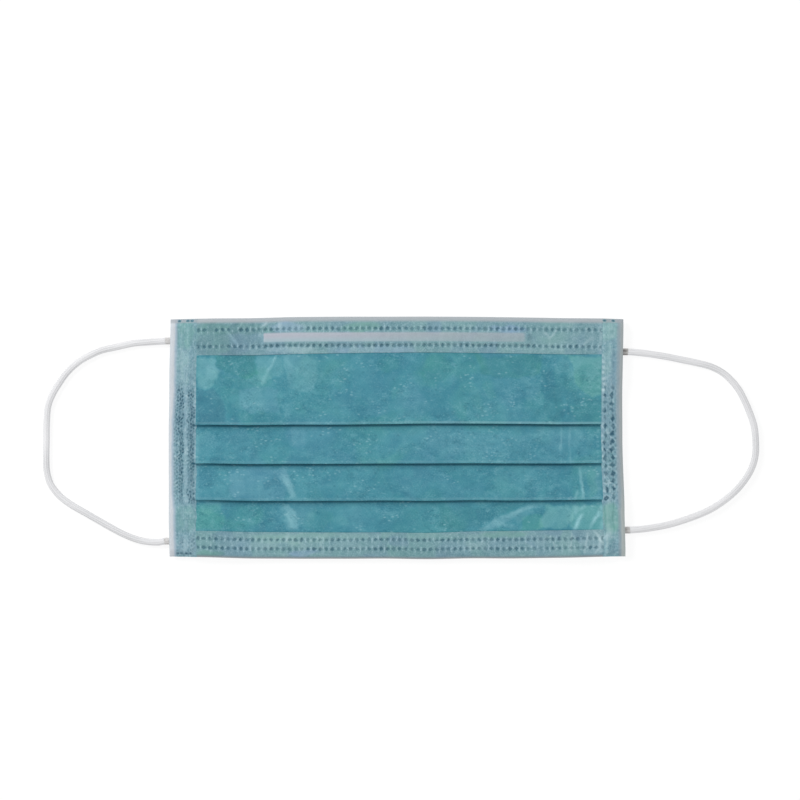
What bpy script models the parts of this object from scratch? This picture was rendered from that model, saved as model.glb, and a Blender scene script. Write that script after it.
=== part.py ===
"""Disposable pleated face mask, lying flat on its inner side with its ear loops spread out.

Metres. X runs across the mask, +Y towards its nose edge and +Z out of its front. The origin is
on the surface that the mask lies on, below the middle of its body.

A piece is drawn first in the flat pattern, where it is straight and level. settle() then moves
each of its points to where the cloth lies: the edges bow a little, and the corners ride up over
the welded ends of the ear loops. All pieces go through settle(), so their gaps stay the same.
"""

import math

import bmesh
import bpy
from mathutils import Vector

# Outline of the body
MASK_WIDTH = 0.175
MASK_HEIGHT = 0.0914
EDGE_CROWN = 0.001

# Cloth: CLOTH is the bonded plies, or one strip. CLEARANCE is the air between two pieces.
CLOTH = 0.001
CLEARANCE = 0.0003

# Side welds: the plies are fused to WELD_THICKNESS, and the pleats are pressed down to go into it.
WELD_THICKNESS = 0.0012
WELD_LAP = 0.0002
PRESS_REACH = 0.016
EDGE_MARGIN = 0.002

# Hems, each with two rows of weld dots, as shares of the hem's depth from the mask's edge
NOSE_HEM_DEPTH = 0.013
NOSE_WELD_ROWS = (0.385, 0.862)
CHIN_HEM_DEPTH = 0.0102
CHIN_WELD_ROWS = (0.36, 0.68)
HEM_PUFF = 0.0003

# Nose wire, a flat strip between the two weld rows of the nose hem
WIRE_LENGTH = 0.1015
WIRE_WIDTH = 0.004
WIRE_THICKNESS = 0.0008

# Side bindings, as wide as each shows on the front
LEFT_BINDING_WIDTH = 0.0096
RIGHT_BINDING_WIDTH = 0.0077

# Ear loops: round elastic, fused flat where it is welded under the bindings
CORD_DIAMETER = 0.0026
LOOP_WELD_LENGTH = 0.009
LOOP_WELD_WIDTH = 0.0042
LOOP_WELD_THICKNESS = 0.001
LOOP_WELD_OVERHANG = 0.002

# The cloth is level this far round a welded loop end, and then comes down over the two reaches.
LIFT_MARGIN = 0.004
LIFT_REACH_X = 0.03
LIFT_REACH_Y = 0.014

# Where the folds show on the front, and how far each reaches back up under the cloth above it,
# as shares of the mask's height
PLEAT_FOLDS = (
    {"below_nose_edge": 0.4475, "depth": 0.124},
    {"below_nose_edge": 0.6103, "depth": 0.124},
    {"below_nose_edge": 0.7634, "depth": 0.124},
)

# How far the two side edges stand out, as shares of the mask's width. up is 1 at the nose edge.
SIDE_OUTLINE = (
    {"up": -1.0, "left": 0.0000, "right": 0.0034},
    {"up": -0.6, "left": 0.0018, "right": 0.0012},
    {"up": 0.0, "left": 0.0023, "right": -0.0030},
    {"up": 0.4, "left": 0.0010, "right": -0.0034},
    {"up": 1.0, "left": -0.0023, "right": -0.0012},
)

# Ends of the ear loops: side is -1 on the left, and up is a share of half the mask's height
LOOP_WELDS = (
    {"name": "loop_weld_left_nose", "side": -1, "up": 0.816},
    {"name": "loop_weld_left_chin", "side": -1, "up": -0.872},
    {"name": "loop_weld_right_nose", "side": 1, "up": 0.724},
    {"name": "loop_weld_right_chin", "side": 1, "up": -0.779},
)

# Route of each free loop between its welds: metres out from the mask's side edge, and metres up
LEFT_LOOP_ROUTE = (
    (0.0077, 0.0369), (0.0139, 0.0364), (0.0201, 0.0351), (0.0260, 0.0338),
    (0.0310, 0.0317), (0.0356, 0.0289), (0.0396, 0.0251), (0.0427, 0.0208),
    (0.0452, 0.0166), (0.0469, 0.0120), (0.0474, 0.0060), (0.0475, -0.0005),
    (0.0476, -0.0070), (0.0473, -0.0130), (0.0458, -0.0180), (0.0425, -0.0223),
    (0.0381, -0.0257), (0.0330, -0.0287), (0.0278, -0.0317), (0.0223, -0.0348),
    (0.0165, -0.0377), (0.0107, -0.0397), (0.0052, -0.0403),
)
RIGHT_LOOP_ROUTE = (
    (0.0048, 0.0329), (0.0102, 0.0323), (0.0164, 0.0313), (0.0226, 0.0300),
    (0.0285, 0.0288), (0.0337, 0.0274), (0.0380, 0.0252), (0.0414, 0.0222),
    (0.0443, 0.0186), (0.0466, 0.0143), (0.0487, 0.0093), (0.0503, 0.0043),
    (0.0509, -0.0015), (0.0507, -0.0070), (0.0492, -0.0120), (0.0466, -0.0164),
    (0.0430, -0.0206), (0.0383, -0.0245), (0.0332, -0.0277), (0.0270, -0.0304),
    (0.0195, -0.0329), (0.0133, -0.0343), (0.0071, -0.0352),
)

# Fineness of the faceted shapes, and how square a fused loop end is
ARC_STEPS = 4
RAMP_STEPS = 5
RUN_STEPS = 3
CORD_STEP = 0.006
CORD_RING_STEPS = 2
WELD_SIDES = 12
FLAT_POWER = 0.5
ACROSS_SHARES = (0.0, 0.32, 0.56, 0.72, 0.8, 0.87, 0.93, 0.97, 1.0)
ALONG_STEPS = 22
SHARP_DEGREES = 40

# Levels of the cloth's middle over the surface, before the corners are lifted
HALF_CLOTH = CLOTH / 2
LAYER_PITCH = CLOTH + CLEARANCE
LOW_LEVEL = HALF_CLOTH
MIDDLE_LEVEL = LOW_LEVEL + LAYER_PITCH
HIGH_LEVEL = MIDDLE_LEVEL + LAYER_PITCH
CORE_LEVEL = CLOTH + CLEARANCE + WELD_THICKNESS / 2
FLAP_LEVEL = CORE_LEVEL + WELD_THICKNESS / 2 + CLEARANCE + HALF_CLOTH
WRAP_RADIUS = (FLAP_LEVEL - LOW_LEVEL) / 2
PLEAT_RADIUS = LAYER_PITCH / 2
CORNER_LIFT = LOOP_WELD_THICKNESS + CLEARANCE

HALF_WIDTH = MASK_WIDTH / 2
HALF_HEIGHT = MASK_HEIGHT / 2
PLY_TOP = HALF_HEIGHT - EDGE_MARGIN
PLY_BOTTOM = EDGE_MARGIN - HALF_HEIGHT
BINDING_WIDTHS = {-1: LEFT_BINDING_WIDTH, 1: RIGHT_BINDING_WIDTH}


def ease(value, start, end):
    """0 before start, 1 after end, and a smooth step between them."""
    t = min(1.0, max(0.0, (value - start) / (end - start)))
    return t * t * (3 - 2 * t)


def side_bow(up, side):
    """How far a side edge stands out of its straight line at a height on the mask."""
    column = "left" if side < 0 else "right"
    rows = SIDE_OUTLINE
    for low, high in zip(rows, rows[1:]):
        if up <= high["up"] or high is rows[-1]:
            share = ease(up, low["up"], high["up"])
            return MASK_WIDTH * (low[column] + share * (high[column] - low[column]))


def corner_lift(x, y):
    """How far the cloth is raised where it lies over a welded loop end."""
    side = -1 if x < 0 else 1
    end = -1 if y < 0 else 1
    weld = next(w for w in LOOP_WELDS if w["side"] == side and w["up"] * end > 0)
    full_x = HALF_WIDTH - LOOP_WELD_LENGTH - LIFT_MARGIN
    full_y = abs(weld["up"]) * HALF_HEIGHT - LOOP_WELD_WIDTH / 2 - LIFT_MARGIN
    across = ease(abs(x), full_x - LIFT_REACH_X, full_x)
    along = ease(abs(y), full_y - LIFT_REACH_Y, full_y)
    return CORNER_LIFT * across * along


def settle(x, y, z):
    """Moves a point of the flat pattern to where the mask lies."""
    across = x / HALF_WIDTH
    up = y / HALF_HEIGHT
    side = -1 if x < 0 else 1
    bow = side * side_bow(up, side) * abs(across) ** 3
    crown = EDGE_CROWN * max(0.0, 1 - across * across) * up
    return Vector((x + bow, y + crown, z + corner_lift(x, y)))


def make_material(name, colour, roughness):
    """A plain Principled material."""
    material = bpy.data.materials.new(name)
    material.use_nodes = True
    shader = material.node_tree.nodes["Principled BSDF"]
    shader.inputs["Base Color"].default_value = (*colour, 1.0)
    shader.inputs["Roughness"].default_value = roughness
    shader.inputs["Metallic"].default_value = 0.0
    return material


def add_object(name, data, material):
    """Links a mesh or curve into the scene under its plain name."""
    part = bpy.data.objects.new(name, data)
    bpy.context.scene.collection.objects.link(part)
    data.materials.append(material)
    return part


def finish_mesh(name, shape, material):
    """Turns a bmesh into an object with its faces pointing out, shaded smooth."""
    bmesh.ops.recalc_face_normals(shape, faces=shape.faces)
    data = bpy.data.meshes.new(name)
    shape.to_mesh(data)
    shape.free()
    data.shade_smooth()
    data.set_sharp_from_angle(angle=math.radians(SHARP_DEGREES))
    return add_object(name, data, material)


def thick_sheet(sections):
    """A closed strip of cloth. A section is a list of (front, back) point pairs."""
    shape = bmesh.new()
    grid = [[[shape.verts.new(point) for point in pair] for pair in row] for row in sections]
    last_row, last_pair = len(grid) - 1, len(grid[0]) - 1
    for i in range(last_row):
        here, there = grid[i], grid[i + 1]
        for j in range(last_pair):
            shape.faces.new((here[j][0], there[j][0], there[j + 1][0], here[j + 1][0]))
            shape.faces.new((here[j][1], here[j + 1][1], there[j + 1][1], there[j][1]))
        for j in (0, last_pair):
            shape.faces.new((here[j][0], here[j][1], there[j][1], there[j][0]))
    for row in (grid[0], grid[-1]):
        for j in range(last_pair):
            shape.faces.new((row[j][0], row[j + 1][0], row[j + 1][1], row[j][1]))
    return shape


def offset_pairs(path, half_thickness):
    """The points on both faces of a cloth whose middle follows a flat path of (u, v)."""
    pairs = []
    for i, (u, v) in enumerate(path):
        before = path[max(i - 1, 0)]
        after = path[min(i + 1, len(path) - 1)]
        run = Vector((after[0] - before[0], after[1] - before[1])).normalized()
        out = Vector((run.y, -run.x)) * half_thickness
        pairs.append(((u + out.x, v + out.y), (u - out.x, v - out.y)))
    return pairs


def arc(centre_u, centre_v, radius, start_degrees, turn_degrees, steps):
    """Points round an arc, both ends included."""
    angles = [math.radians(start_degrees + turn_degrees * i / steps) for i in range(steps + 1)]
    return [(centre_u + radius * math.cos(a), centre_v + radius * math.sin(a)) for a in angles]


def ramp(start, end, steps):
    """Points of a smooth rise or fall from start to end, both ends left out."""
    shares = [i / steps for i in range(1, steps)]
    return [
        (start[0] + (end[0] - start[0]) * t, start[1] + (end[1] - start[1]) * ease(t, 0, 1))
        for t in shares
    ]


def add_straight(path, end, steps):
    """Carries a path on in a straight line to end, in so many steps."""
    start = path[-1]
    for i in range(1, steps + 1):
        path.append(tuple(a + (b - a) * i / steps for a, b in zip(start, end)))


def across_stations(left_end, right_end):
    """Places across the mask, closer together towards the two ends."""
    left = [left_end * share for share in reversed(ACROSS_SHARES[1:])]
    right = [right_end * share for share in ACROSS_SHARES]
    return left + right


def panel_path():
    """The middle of the plies from the nose edge to the chin edge, as (y, z), and the first and
    last of its points that lie in the pleats."""
    outer = PLEAT_RADIUS + HALF_CLOTH
    hem_end = HALF_HEIGHT - NOSE_HEM_DEPTH
    path = [
        (PLY_TOP, CORE_LEVEL),
        ((PLY_TOP + hem_end) / 2, CORE_LEVEL),
        (hem_end, CORE_LEVEL),
    ]
    first = len(path) + RAMP_STEPS - 1
    for row in PLEAT_FOLDS:
        fold = HALF_HEIGHT - row["below_nose_edge"] * MASK_HEIGHT
        back_fold = fold + row["depth"] * MASK_HEIGHT
        top = (back_fold - outer, HIGH_LEVEL)
        path += ramp(path[-1], top, RAMP_STEPS)
        path.append(top)
        add_straight(path, (fold + outer, HIGH_LEVEL), RUN_STEPS)
        path += arc(fold + outer, HIGH_LEVEL - PLEAT_RADIUS, PLEAT_RADIUS, 90, 180, ARC_STEPS)[1:]
        add_straight(path, (back_fold - outer, MIDDLE_LEVEL), RUN_STEPS)
        path += arc(top[0], LOW_LEVEL + PLEAT_RADIUS, PLEAT_RADIUS, 90, -180, ARC_STEPS)[1:]
        add_straight(path, (fold, LOW_LEVEL), RUN_STEPS)
    last = len(path) - 1
    chin_hem_start = CHIN_HEM_DEPTH - HALF_HEIGHT
    path += ramp(path[-1], (chin_hem_start, CORE_LEVEL), RAMP_STEPS)
    path += [
        (chin_hem_start, CORE_LEVEL),
        ((chin_hem_start + PLY_BOTTOM) / 2, CORE_LEVEL),
        (PLY_BOTTOM, CORE_LEVEL),
    ]
    return path, first, last


def panel_section(x, pressed):
    """One section of the pleated plies. pressed is 0 where they lie loose, 1 at the side weld."""
    path, first, last = panel_path()
    stack_height = HIGH_LEVEL + HALF_CLOTH
    squeeze = (WELD_THICKNESS - WELD_LAP) / stack_height
    blend_points = RAMP_STEPS - 1
    section = []
    for i, (pair, (_, middle)) in enumerate(zip(offset_pairs(path, HALF_CLOTH), path)):
        outside = max(first - i, i - last, 0)
        pleated = 1 - min(1.0, outside / blend_points)
        keep = squeeze * pleated + 1 - pleated
        centre = CORE_LEVEL + squeeze * pleated * (middle - MIDDLE_LEVEL)
        section.append(
            [settle(x, y, z + pressed * (centre + keep * (z - middle) - z)) for y, z in pair]
        )
    return section


def make_panel(material):
    """The bonded plies: three pleats that open downwards, fused flat along both sides."""
    weld_lines = {side: side * (HALF_WIDTH - BINDING_WIDTHS[side]) for side in (-1, 1)}
    sections = []
    for x in across_stations(weld_lines[-1] - CLOTH, weld_lines[1] + CLOTH):
        weld_line = abs(weld_lines[-1 if x < 0 else 1])
        sections.append(panel_section(x, ease(abs(x), weld_line - PRESS_REACH, weld_line)))
    panel = finish_mesh("pleated_panel", thick_sheet(sections), material)
    for side in (-1, 1):
        outer = side * (HALF_WIDTH - EDGE_MARGIN)
        weld = weld_slab(f"side_weld_{'left' if side < 0 else 'right'}", weld_lines[side], outer)
        join = panel.modifiers.new(weld.name, "BOOLEAN")
        join.operation = "UNION"
        join.solver = "EXACT"
        join.use_self = True
        join.object = weld
    return panel


def weld_slab(name, inner, outer):
    """The fused strip of plies along one side. It is a guide that the panel is joined to."""
    length = PLY_TOP - PLY_BOTTOM + 2 * WELD_LAP
    start = PLY_BOTTOM - WELD_LAP
    heights = [start + length * i / ALONG_STEPS for i in range(ALONG_STEPS + 1)]
    sections = []
    for y in heights:
        ends = (inner, (inner + outer) / 2, outer)
        levels = (CORE_LEVEL + WELD_THICKNESS / 2, CORE_LEVEL - WELD_THICKNESS / 2)
        sections.append([[settle(x, y, z) for z in levels] for x in ends])
    shape = thick_sheet(sections)
    bmesh.ops.recalc_face_normals(shape, faces=shape.faces)
    data = bpy.data.meshes.new(name)
    shape.to_mesh(data)
    shape.free()
    guide = bpy.data.objects.new(name, data)
    bpy.context.scene.collection.objects.link(guide)
    guide.hide_render = True
    guide.display_type = "WIRE"
    return guide


def hem_path(side, depth, weld_rows, crest_width, bulge):
    """The middle of a hem from its front edge, over the mask's edge and back, as (y, z).
    side is 1 at the nose edge. bulge is how far the cloth stands up between the weld rows, and
    crest_width is how much of it does."""
    edge = HALF_HEIGHT
    near, far = (share * depth for share in weld_rows)
    middle = edge - (near + far) / 2
    crest = FLAP_LEVEL + bulge
    path = [(edge - depth, FLAP_LEVEL), (edge - far, FLAP_LEVEL)]
    path += [(middle - crest_width / 2, crest), (middle, crest), (middle + crest_width / 2, crest)]
    path.append((edge - near, FLAP_LEVEL))
    wrap_centre = edge - WRAP_RADIUS - HALF_CLOTH
    path += arc(wrap_centre, LOW_LEVEL + WRAP_RADIUS, WRAP_RADIUS, 90, -180, ARC_STEPS)
    path.append((edge - depth, LOW_LEVEL))
    return [(side * y, z) for y, z in path]


def make_hem(name, side, depth, weld_rows, material):
    """The lining's edge, turned over the mask's edge onto the front between the bindings.
    The nose hem also stands up over the nose wire."""
    left_end = LEFT_BINDING_WIDTH + CLEARANCE - HALF_WIDTH
    right_end = HALF_WIDTH - RIGHT_BINDING_WIDTH - CLEARANCE
    places = across_stations(left_end, right_end)
    crest_width = (weld_rows[1] - weld_rows[0]) * depth / 2
    over_wire = HEM_PUFF
    level_end = WIRE_LENGTH / 2 + CLEARANCE
    down_end = level_end + WIRE_WIDTH
    if side > 0:
        crest_width = WIRE_WIDTH
        over_wire = WIRE_THICKNESS + CLEARANCE
        places = sorted(places + [-down_end, -level_end, level_end, down_end])
    sections = []
    for x in places:
        bulge = over_wire + (HEM_PUFF - over_wire) * ease(abs(x), level_end, down_end)
        path = hem_path(side, depth, weld_rows, crest_width, bulge)
        sections.append(
            [[settle(x, y, z) for y, z in pair] for pair in offset_pairs(path, HALF_CLOTH)]
        )
    return finish_mesh(name, thick_sheet(sections), material)


def make_nose_wire(material):
    """The flat strip that is bent over the nose."""
    middle = HALF_HEIGHT - NOSE_HEM_DEPTH * sum(NOSE_WELD_ROWS) / 2
    bottom = CORE_LEVEL + HALF_CLOTH + CLEARANCE
    edges = (middle - WIRE_WIDTH / 2, middle, middle + WIRE_WIDTH / 2)
    levels = (bottom + WIRE_THICKNESS, bottom)
    inside = [x for x in across_stations(-HALF_WIDTH, HALF_WIDTH) if abs(x) < WIRE_LENGTH / 2]
    places = [-WIRE_LENGTH / 2] + inside + [WIRE_LENGTH / 2]
    sections = [[[settle(x, y, z) for z in levels] for y in edges] for x in places]
    return finish_mesh("nose_wire", thick_sheet(sections), material)


def make_binding(name, side, material):
    """A strip folded round one side of the mask."""
    width = BINDING_WIDTHS[side]
    inner = HALF_WIDTH - width
    wrap_centre = HALF_WIDTH - WRAP_RADIUS - HALF_CLOTH
    path = [(inner, FLAP_LEVEL), ((inner + wrap_centre) / 2, FLAP_LEVEL)]
    path += arc(wrap_centre, LOW_LEVEL + WRAP_RADIUS, WRAP_RADIUS, 90, -180, ARC_STEPS)
    path += [((inner + wrap_centre) / 2, LOW_LEVEL), (inner, LOW_LEVEL)]
    pairs = offset_pairs(path, HALF_CLOTH)
    heights = [-HALF_HEIGHT + MASK_HEIGHT * i / ALONG_STEPS for i in range(ALONG_STEPS + 1)]
    sections = [[[settle(side * x, y, z) for x, z in pair] for pair in pairs] for y in heights]
    return finish_mesh(name, thick_sheet(sections), material)


def rounded_ring(x, y, width, height, power):
    """A ring across a loop end, standing on the surface. It is an ellipse where power is 1, and
    nearer to a rectangle below that."""
    ring = []
    for i in range(WELD_SIDES):
        angle = math.tau * (i + 0.5) / WELD_SIDES
        c, s = math.cos(angle), math.sin(angle)
        across = math.copysign(abs(c) ** power, c) * width / 2
        up = math.copysign(abs(s) ** power, s) * height / 2
        ring.append(Vector((x, y + across, up)))
    lowest = min(point.z for point in ring)
    return [point - Vector((0, 0, lowest)) for point in ring]


def side_edge(side, y):
    """The x of the mask's side edge at a height on it."""
    return side * (HALF_WIDTH + side_bow(y / HALF_HEIGHT, side))


def weld_exit(weld):
    """Where the round cord leaves a welded end: (x, y) of the middle of that end's outer face."""
    y = weld["up"] * HALF_HEIGHT
    return side_edge(weld["side"], y) + weld["side"] * LOOP_WELD_OVERHANG, y


def make_loop_weld(weld, material):
    """The last stretch of an ear loop, fused flat under the binding and round outside it."""
    side = weld["side"]
    x, y = weld_exit(weld)
    edge = x - side * LOOP_WELD_OVERHANG
    sections = (
        {"out": -LOOP_WELD_LENGTH, "round": 0.0},
        {"out": 0.0, "round": 0.0},
        {"out": LOOP_WELD_OVERHANG / 2, "round": 0.5},
        {"out": LOOP_WELD_OVERHANG, "round": 1.0},
    )
    shape = bmesh.new()
    rings = []
    for row in sections:
        width = LOOP_WELD_WIDTH + (CORD_DIAMETER - LOOP_WELD_WIDTH) * row["round"]
        height = LOOP_WELD_THICKNESS + (CORD_DIAMETER - LOOP_WELD_THICKNESS) * row["round"]
        power = FLAT_POWER + (1 - FLAT_POWER) * row["round"]
        ring = rounded_ring(edge + side * row["out"], y, width, height, power)
        rings.append([shape.verts.new(point) for point in ring])
    for here, there in zip(rings, rings[1:]):
        for i in range(WELD_SIDES):
            j = (i + 1) % WELD_SIDES
            shape.faces.new((here[i], here[j], there[j], there[i]))
    shape.faces.new(rings[0])
    shape.faces.new(rings[-1])
    return finish_mesh(weld["name"], shape, material)


def smooth_route(points, step):
    """Points about step apart on a smooth curve through a route's own points."""
    before = points[0] * 2 - points[1]
    after = points[-1] * 2 - points[-2]
    padded = [before, *points, after]
    route = [points[0]]
    for a, b, c, d in zip(padded, padded[1:], padded[2:], padded[3:]):
        count = max(1, round((c - b).length / step))
        for i in range(1, count + 1):
            t = i / count
            route.append(
                b
                + (c - a) * (t / 2)
                + (a * 2 - b * 5 + c * 4 - d) * (t**2 / 2)
                + (b * 3 - a - c * 3 + d) * (t**3 / 2)
            )
    return route


def make_ear_loop(name, side, route, material):
    """The free elastic between the two welded ends on one side, lying on the surface."""
    ends = [weld_exit(weld) for weld in LOOP_WELDS if weld["side"] == side]
    (nose_x, nose_y), (chin_x, chin_y) = ends
    level = CORD_DIAMETER / 2
    gap = side * CLEARANCE
    points = [Vector((nose_x + gap, nose_y, level))]
    points += [Vector((side * (HALF_WIDTH + out), up, level)) for out, up in route]
    points += [Vector((chin_x + gap, chin_y, level))]
    line = smooth_route(points, CORD_STEP)
    curve = bpy.data.curves.new(name, "CURVE")
    curve.dimensions = "3D"
    curve.bevel_depth = CORD_DIAMETER / 2
    curve.bevel_resolution = CORD_RING_STEPS
    curve.use_fill_caps = True
    spline = curve.splines.new("POLY")
    spline.points.add(len(line) - 1)
    for point, place in zip(spline.points, line):
        point.co = (*place, 1.0)
    return add_object(name, curve, material)


def main():
    for old in list(bpy.data.objects):
        bpy.data.objects.remove(old)
    outer_cloth = make_material("teal_nonwoven", (0.075, 0.27, 0.33), 0.85)
    hem_cloth = make_material("hem_nonwoven", (0.22, 0.38, 0.43), 0.85)
    binding_cloth = make_material("binding_nonwoven", (0.25, 0.42, 0.48), 0.85)
    wire_plastic = make_material("wire_plastic", (0.62, 0.60, 0.64), 0.5)
    elastic = make_material("white_elastic", (0.82, 0.82, 0.82), 0.8)
    fused_elastic = make_material("fused_elastic", (0.66, 0.65, 0.63), 0.5)
    make_panel(outer_cloth)
    make_hem("nose_hem", 1, NOSE_HEM_DEPTH, NOSE_WELD_ROWS, hem_cloth)
    make_hem("chin_hem", -1, CHIN_HEM_DEPTH, CHIN_WELD_ROWS, hem_cloth)
    make_nose_wire(wire_plastic)
    make_binding("side_binding_left", -1, binding_cloth)
    make_binding("side_binding_right", 1, binding_cloth)
    for weld in LOOP_WELDS:
        make_loop_weld(weld, fused_elastic)
    make_ear_loop("ear_loop_left", -1, LEFT_LOOP_ROUTE, elastic)
    make_ear_loop("ear_loop_right", 1, RIGHT_LOOP_ROUTE, elastic)


main()
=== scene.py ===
"""Looks of the disposable pleated face mask: nonwoven cloth, welds, creases and knitted ear loops.

Metres, in the frame of the CAD part. X runs across the mask, +Y towards its nose edge and +Z out
of its front. As in the part, cloth is drawn first in the flat pattern, and settle() then moves it
to where it lies.
"""

import math

import bpy
import numpy as np
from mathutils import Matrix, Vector


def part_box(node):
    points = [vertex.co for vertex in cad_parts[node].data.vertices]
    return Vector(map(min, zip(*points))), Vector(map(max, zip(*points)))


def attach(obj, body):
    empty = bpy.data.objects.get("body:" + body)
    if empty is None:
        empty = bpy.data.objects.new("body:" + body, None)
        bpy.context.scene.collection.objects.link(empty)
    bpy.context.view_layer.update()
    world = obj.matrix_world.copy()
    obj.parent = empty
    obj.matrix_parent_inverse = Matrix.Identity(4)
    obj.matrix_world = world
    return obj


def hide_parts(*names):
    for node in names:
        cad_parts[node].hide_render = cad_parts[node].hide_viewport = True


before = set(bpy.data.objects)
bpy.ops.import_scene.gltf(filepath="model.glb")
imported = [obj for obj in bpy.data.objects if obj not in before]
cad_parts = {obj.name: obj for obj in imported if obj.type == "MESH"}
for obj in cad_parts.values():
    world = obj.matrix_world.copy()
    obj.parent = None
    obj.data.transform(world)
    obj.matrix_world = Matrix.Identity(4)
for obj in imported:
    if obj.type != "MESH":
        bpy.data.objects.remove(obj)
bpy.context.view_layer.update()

# The photograph: how wide it is, where the mask's middle is in it, and the size of one pixel
MASK_WIDTH = 0.175
PHOTO_PIXELS = 800
MASK_WIDTH_PIXELS = 453.5
MASK_MIDDLE_PIXEL = (396.75, 437.75)
PIXEL = MASK_WIDTH / MASK_WIDTH_PIXELS
CAMERA_HEIGHT = 1.2

# Outline of the body, as in the part. SIDE_OUTLINE has a height in half mask heights, and how far
# the left and the right side edge stand out there, in mask widths.
MASK_HEIGHT = 0.0914
EDGE_CROWN = 0.001
SIDE_OUTLINE = (
    (-1.0, 0.0000, 0.0034),
    (-0.6, 0.0018, 0.0012),
    (0.0, 0.0023, -0.0030),
    (0.4, 0.0010, -0.0034),
    (1.0, -0.0023, -0.0012),
)

# What differs between the sides is listed by side: -1 is the left one and 1 the right one.
BINDING_WIDTH = {-1: 0.0106, 1: 0.0085}

# The hems, and the two rows of weld dots in each, measured from the mask's edge
NOSE_HEM = {"side": 1, "depth": 0.0136, "wider": (0.0005, 0.0001), "rows": (0.00445, 0.01085)}
CHIN_HEM = {"side": -1, "depth": 0.00995, "wider": (0.0002, 0.0006), "rows": (0.00375, 0.0072)}
DOT_PITCH = 0.002353
DOT_RADIUS = 0.00084
DOT_DEPTH = 0.00026
DOT_GAPS = ((-73.4, -69.8), (-63.6, -60.4))

# The nose wire shows through the hem as a pale strip
STRIP_MIDDLE = 0.0076
STRIP_HALF = 0.00175
STRIP_ENDS = (-0.0513, 0.0500)

# Pleats: where each fold shows on the front, and how far it reaches back up
FOLDS = (0.0050, -0.0098, -0.0238)
FOLD_TILT = 0.0003
PLEAT_DEPTH = 0.0113

# Ear loops and their welded ends. The last value of each end is how dark the painted shadow on it is
# where it comes out from under the mask.
CORD_DIAMETER = 0.0026
LOOP_WELD_LENGTH = 0.009
LOOP_WELD_WIDTH = 0.0042
LOOP_WELD_THICKNESS = 0.001
LOOP_WELD_OVERHANG = 0.002
LIFT_MARGIN = 0.004
LIFT_REACH_X = 0.03
LIFT_REACH_Y = 0.014
CORNER_LIFT = 0.0013
KNIT_WALES = 9
KNIT_STITCH = 0.00085
KNIT_TURN = 0.06
CRIMP_PITCH = 0.0011
CRIMP_DEPTH = 0.00008
LEAST_HEIGHT = 0.00002
LOOP_WELDS = (
    {"name": "loop_weld_left_nose", "side": -1, "up": 0.816, "exit_shadow": 0.22},
    {"name": "loop_weld_left_chin", "side": -1, "up": -0.872, "exit_shadow": 0.10},
    {"name": "loop_weld_right_nose", "side": 1, "up": 0.724, "exit_shadow": 0.80},
    {"name": "loop_weld_right_chin", "side": 1, "up": -0.779, "exit_shadow": 0.42},
)
LEFT_LOOP_ROUTE = (
    (0.0077, 0.0369), (0.0139, 0.0364), (0.0201, 0.0351), (0.0260, 0.0338),
    (0.0310, 0.0317), (0.0356, 0.0289), (0.0396, 0.0251), (0.0427, 0.0208),
    (0.0452, 0.0166), (0.0469, 0.0120), (0.0474, 0.0060), (0.0475, -0.0005),
    (0.0476, -0.0070), (0.0473, -0.0130), (0.0458, -0.0180), (0.0425, -0.0223),
    (0.0381, -0.0257), (0.0330, -0.0287), (0.0278, -0.0317), (0.0223, -0.0348),
    (0.0165, -0.0377), (0.0107, -0.0397), (0.0052, -0.0403),
)
RIGHT_LOOP_ROUTE = (
    (0.0048, 0.0329), (0.0102, 0.0323), (0.0164, 0.0313), (0.0226, 0.0300),
    (0.0285, 0.0288), (0.0337, 0.0274), (0.0380, 0.0252), (0.0414, 0.0222),
    (0.0443, 0.0186), (0.0466, 0.0143), (0.0487, 0.0093), (0.0503, 0.0043),
    (0.0509, -0.0015), (0.0507, -0.0070), (0.0492, -0.0120), (0.0466, -0.0164),
    (0.0430, -0.0206), (0.0383, -0.0245), (0.0332, -0.0277), (0.0270, -0.0304),
    (0.0195, -0.0329), (0.0133, -0.0343), (0.0071, -0.0352),
)

# Levels of the thin cloth over the surface that the mask lies on
LAYER = 0.0004
OUTER_TOP = 0.0034
OUTER_START = OUTER_TOP - 2 * LAYER
OUTER_AT_HEM = 0.00318
HEM_DIP = 0.0006
HEM_FRONT = 0.0034
HEM_PLY = 0.00014
BINDING_FRONT = 0.00316
BINDING_PLY = 0.00012
BINDING_END = 0.0015
BACK_FACE = 0.00004
EDGE_MARGIN = 0.002
STRIP_LIP = 0.0012
LINING_GAP = 0.0002
WIRE_BUMP = 0.0005

# How far the plies and the hems reach under the bindings, and between which distances from the
# side welds the cloth gets flat
PLY_TUCK = {-1: 0.006, 1: 0.004}
HEM_TUCK = 0.0012
PRESS_FROM = 0.010
PRESS_TO = 0.0005

# By what share the corners are pressed thinner, how far out they reach and from what height
CORNER_PRESS = 0.45
CORNER_X = 0.004
CORNER_Y = 0.0425

# Between which distances past an edge the outer ply sinks under a hem and under a binding
SINK_AT_HEM = (0.0001, 0.0014)
SINK_AT_BINDING = (0.0002, 0.0012)

# Between which distances from the mask's middle the hems grow wider, and between which distances
# from the nose edge the first panel rises
HEM_WIDENS = (0.005, 0.055)
FIRST_RISE = (0.012, 0.030)
CLEAR_OF_PLEATS = 0.012

# The outer ply's third tint value says how far below a fold a point lies, where the painted shadow
# falls, or this where it lies hidden. Below the nose hem it says how far below the hem it lies, plus
# BELOW_HEM, for the painted shadow under the hem.
HIDDEN = 0.1
BELOW_HEM = 0.05

HALF_WIDTH = MASK_WIDTH / 2
HALF_HEIGHT = MASK_HEIGHT / 2
WELD_LINES = {side: HALF_WIDTH - width for side, width in BINDING_WIDTH.items()}

# Fineness of the meshes
PANEL_STEP = 0.0005
HIDDEN_STEP = 0.0024
HEM_STEP = 0.0003
BINDING_STEP = 0.00026
END_STEP = 0.0001
CORD_SIDES = 32
CORD_STEP = 0.00024

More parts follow.
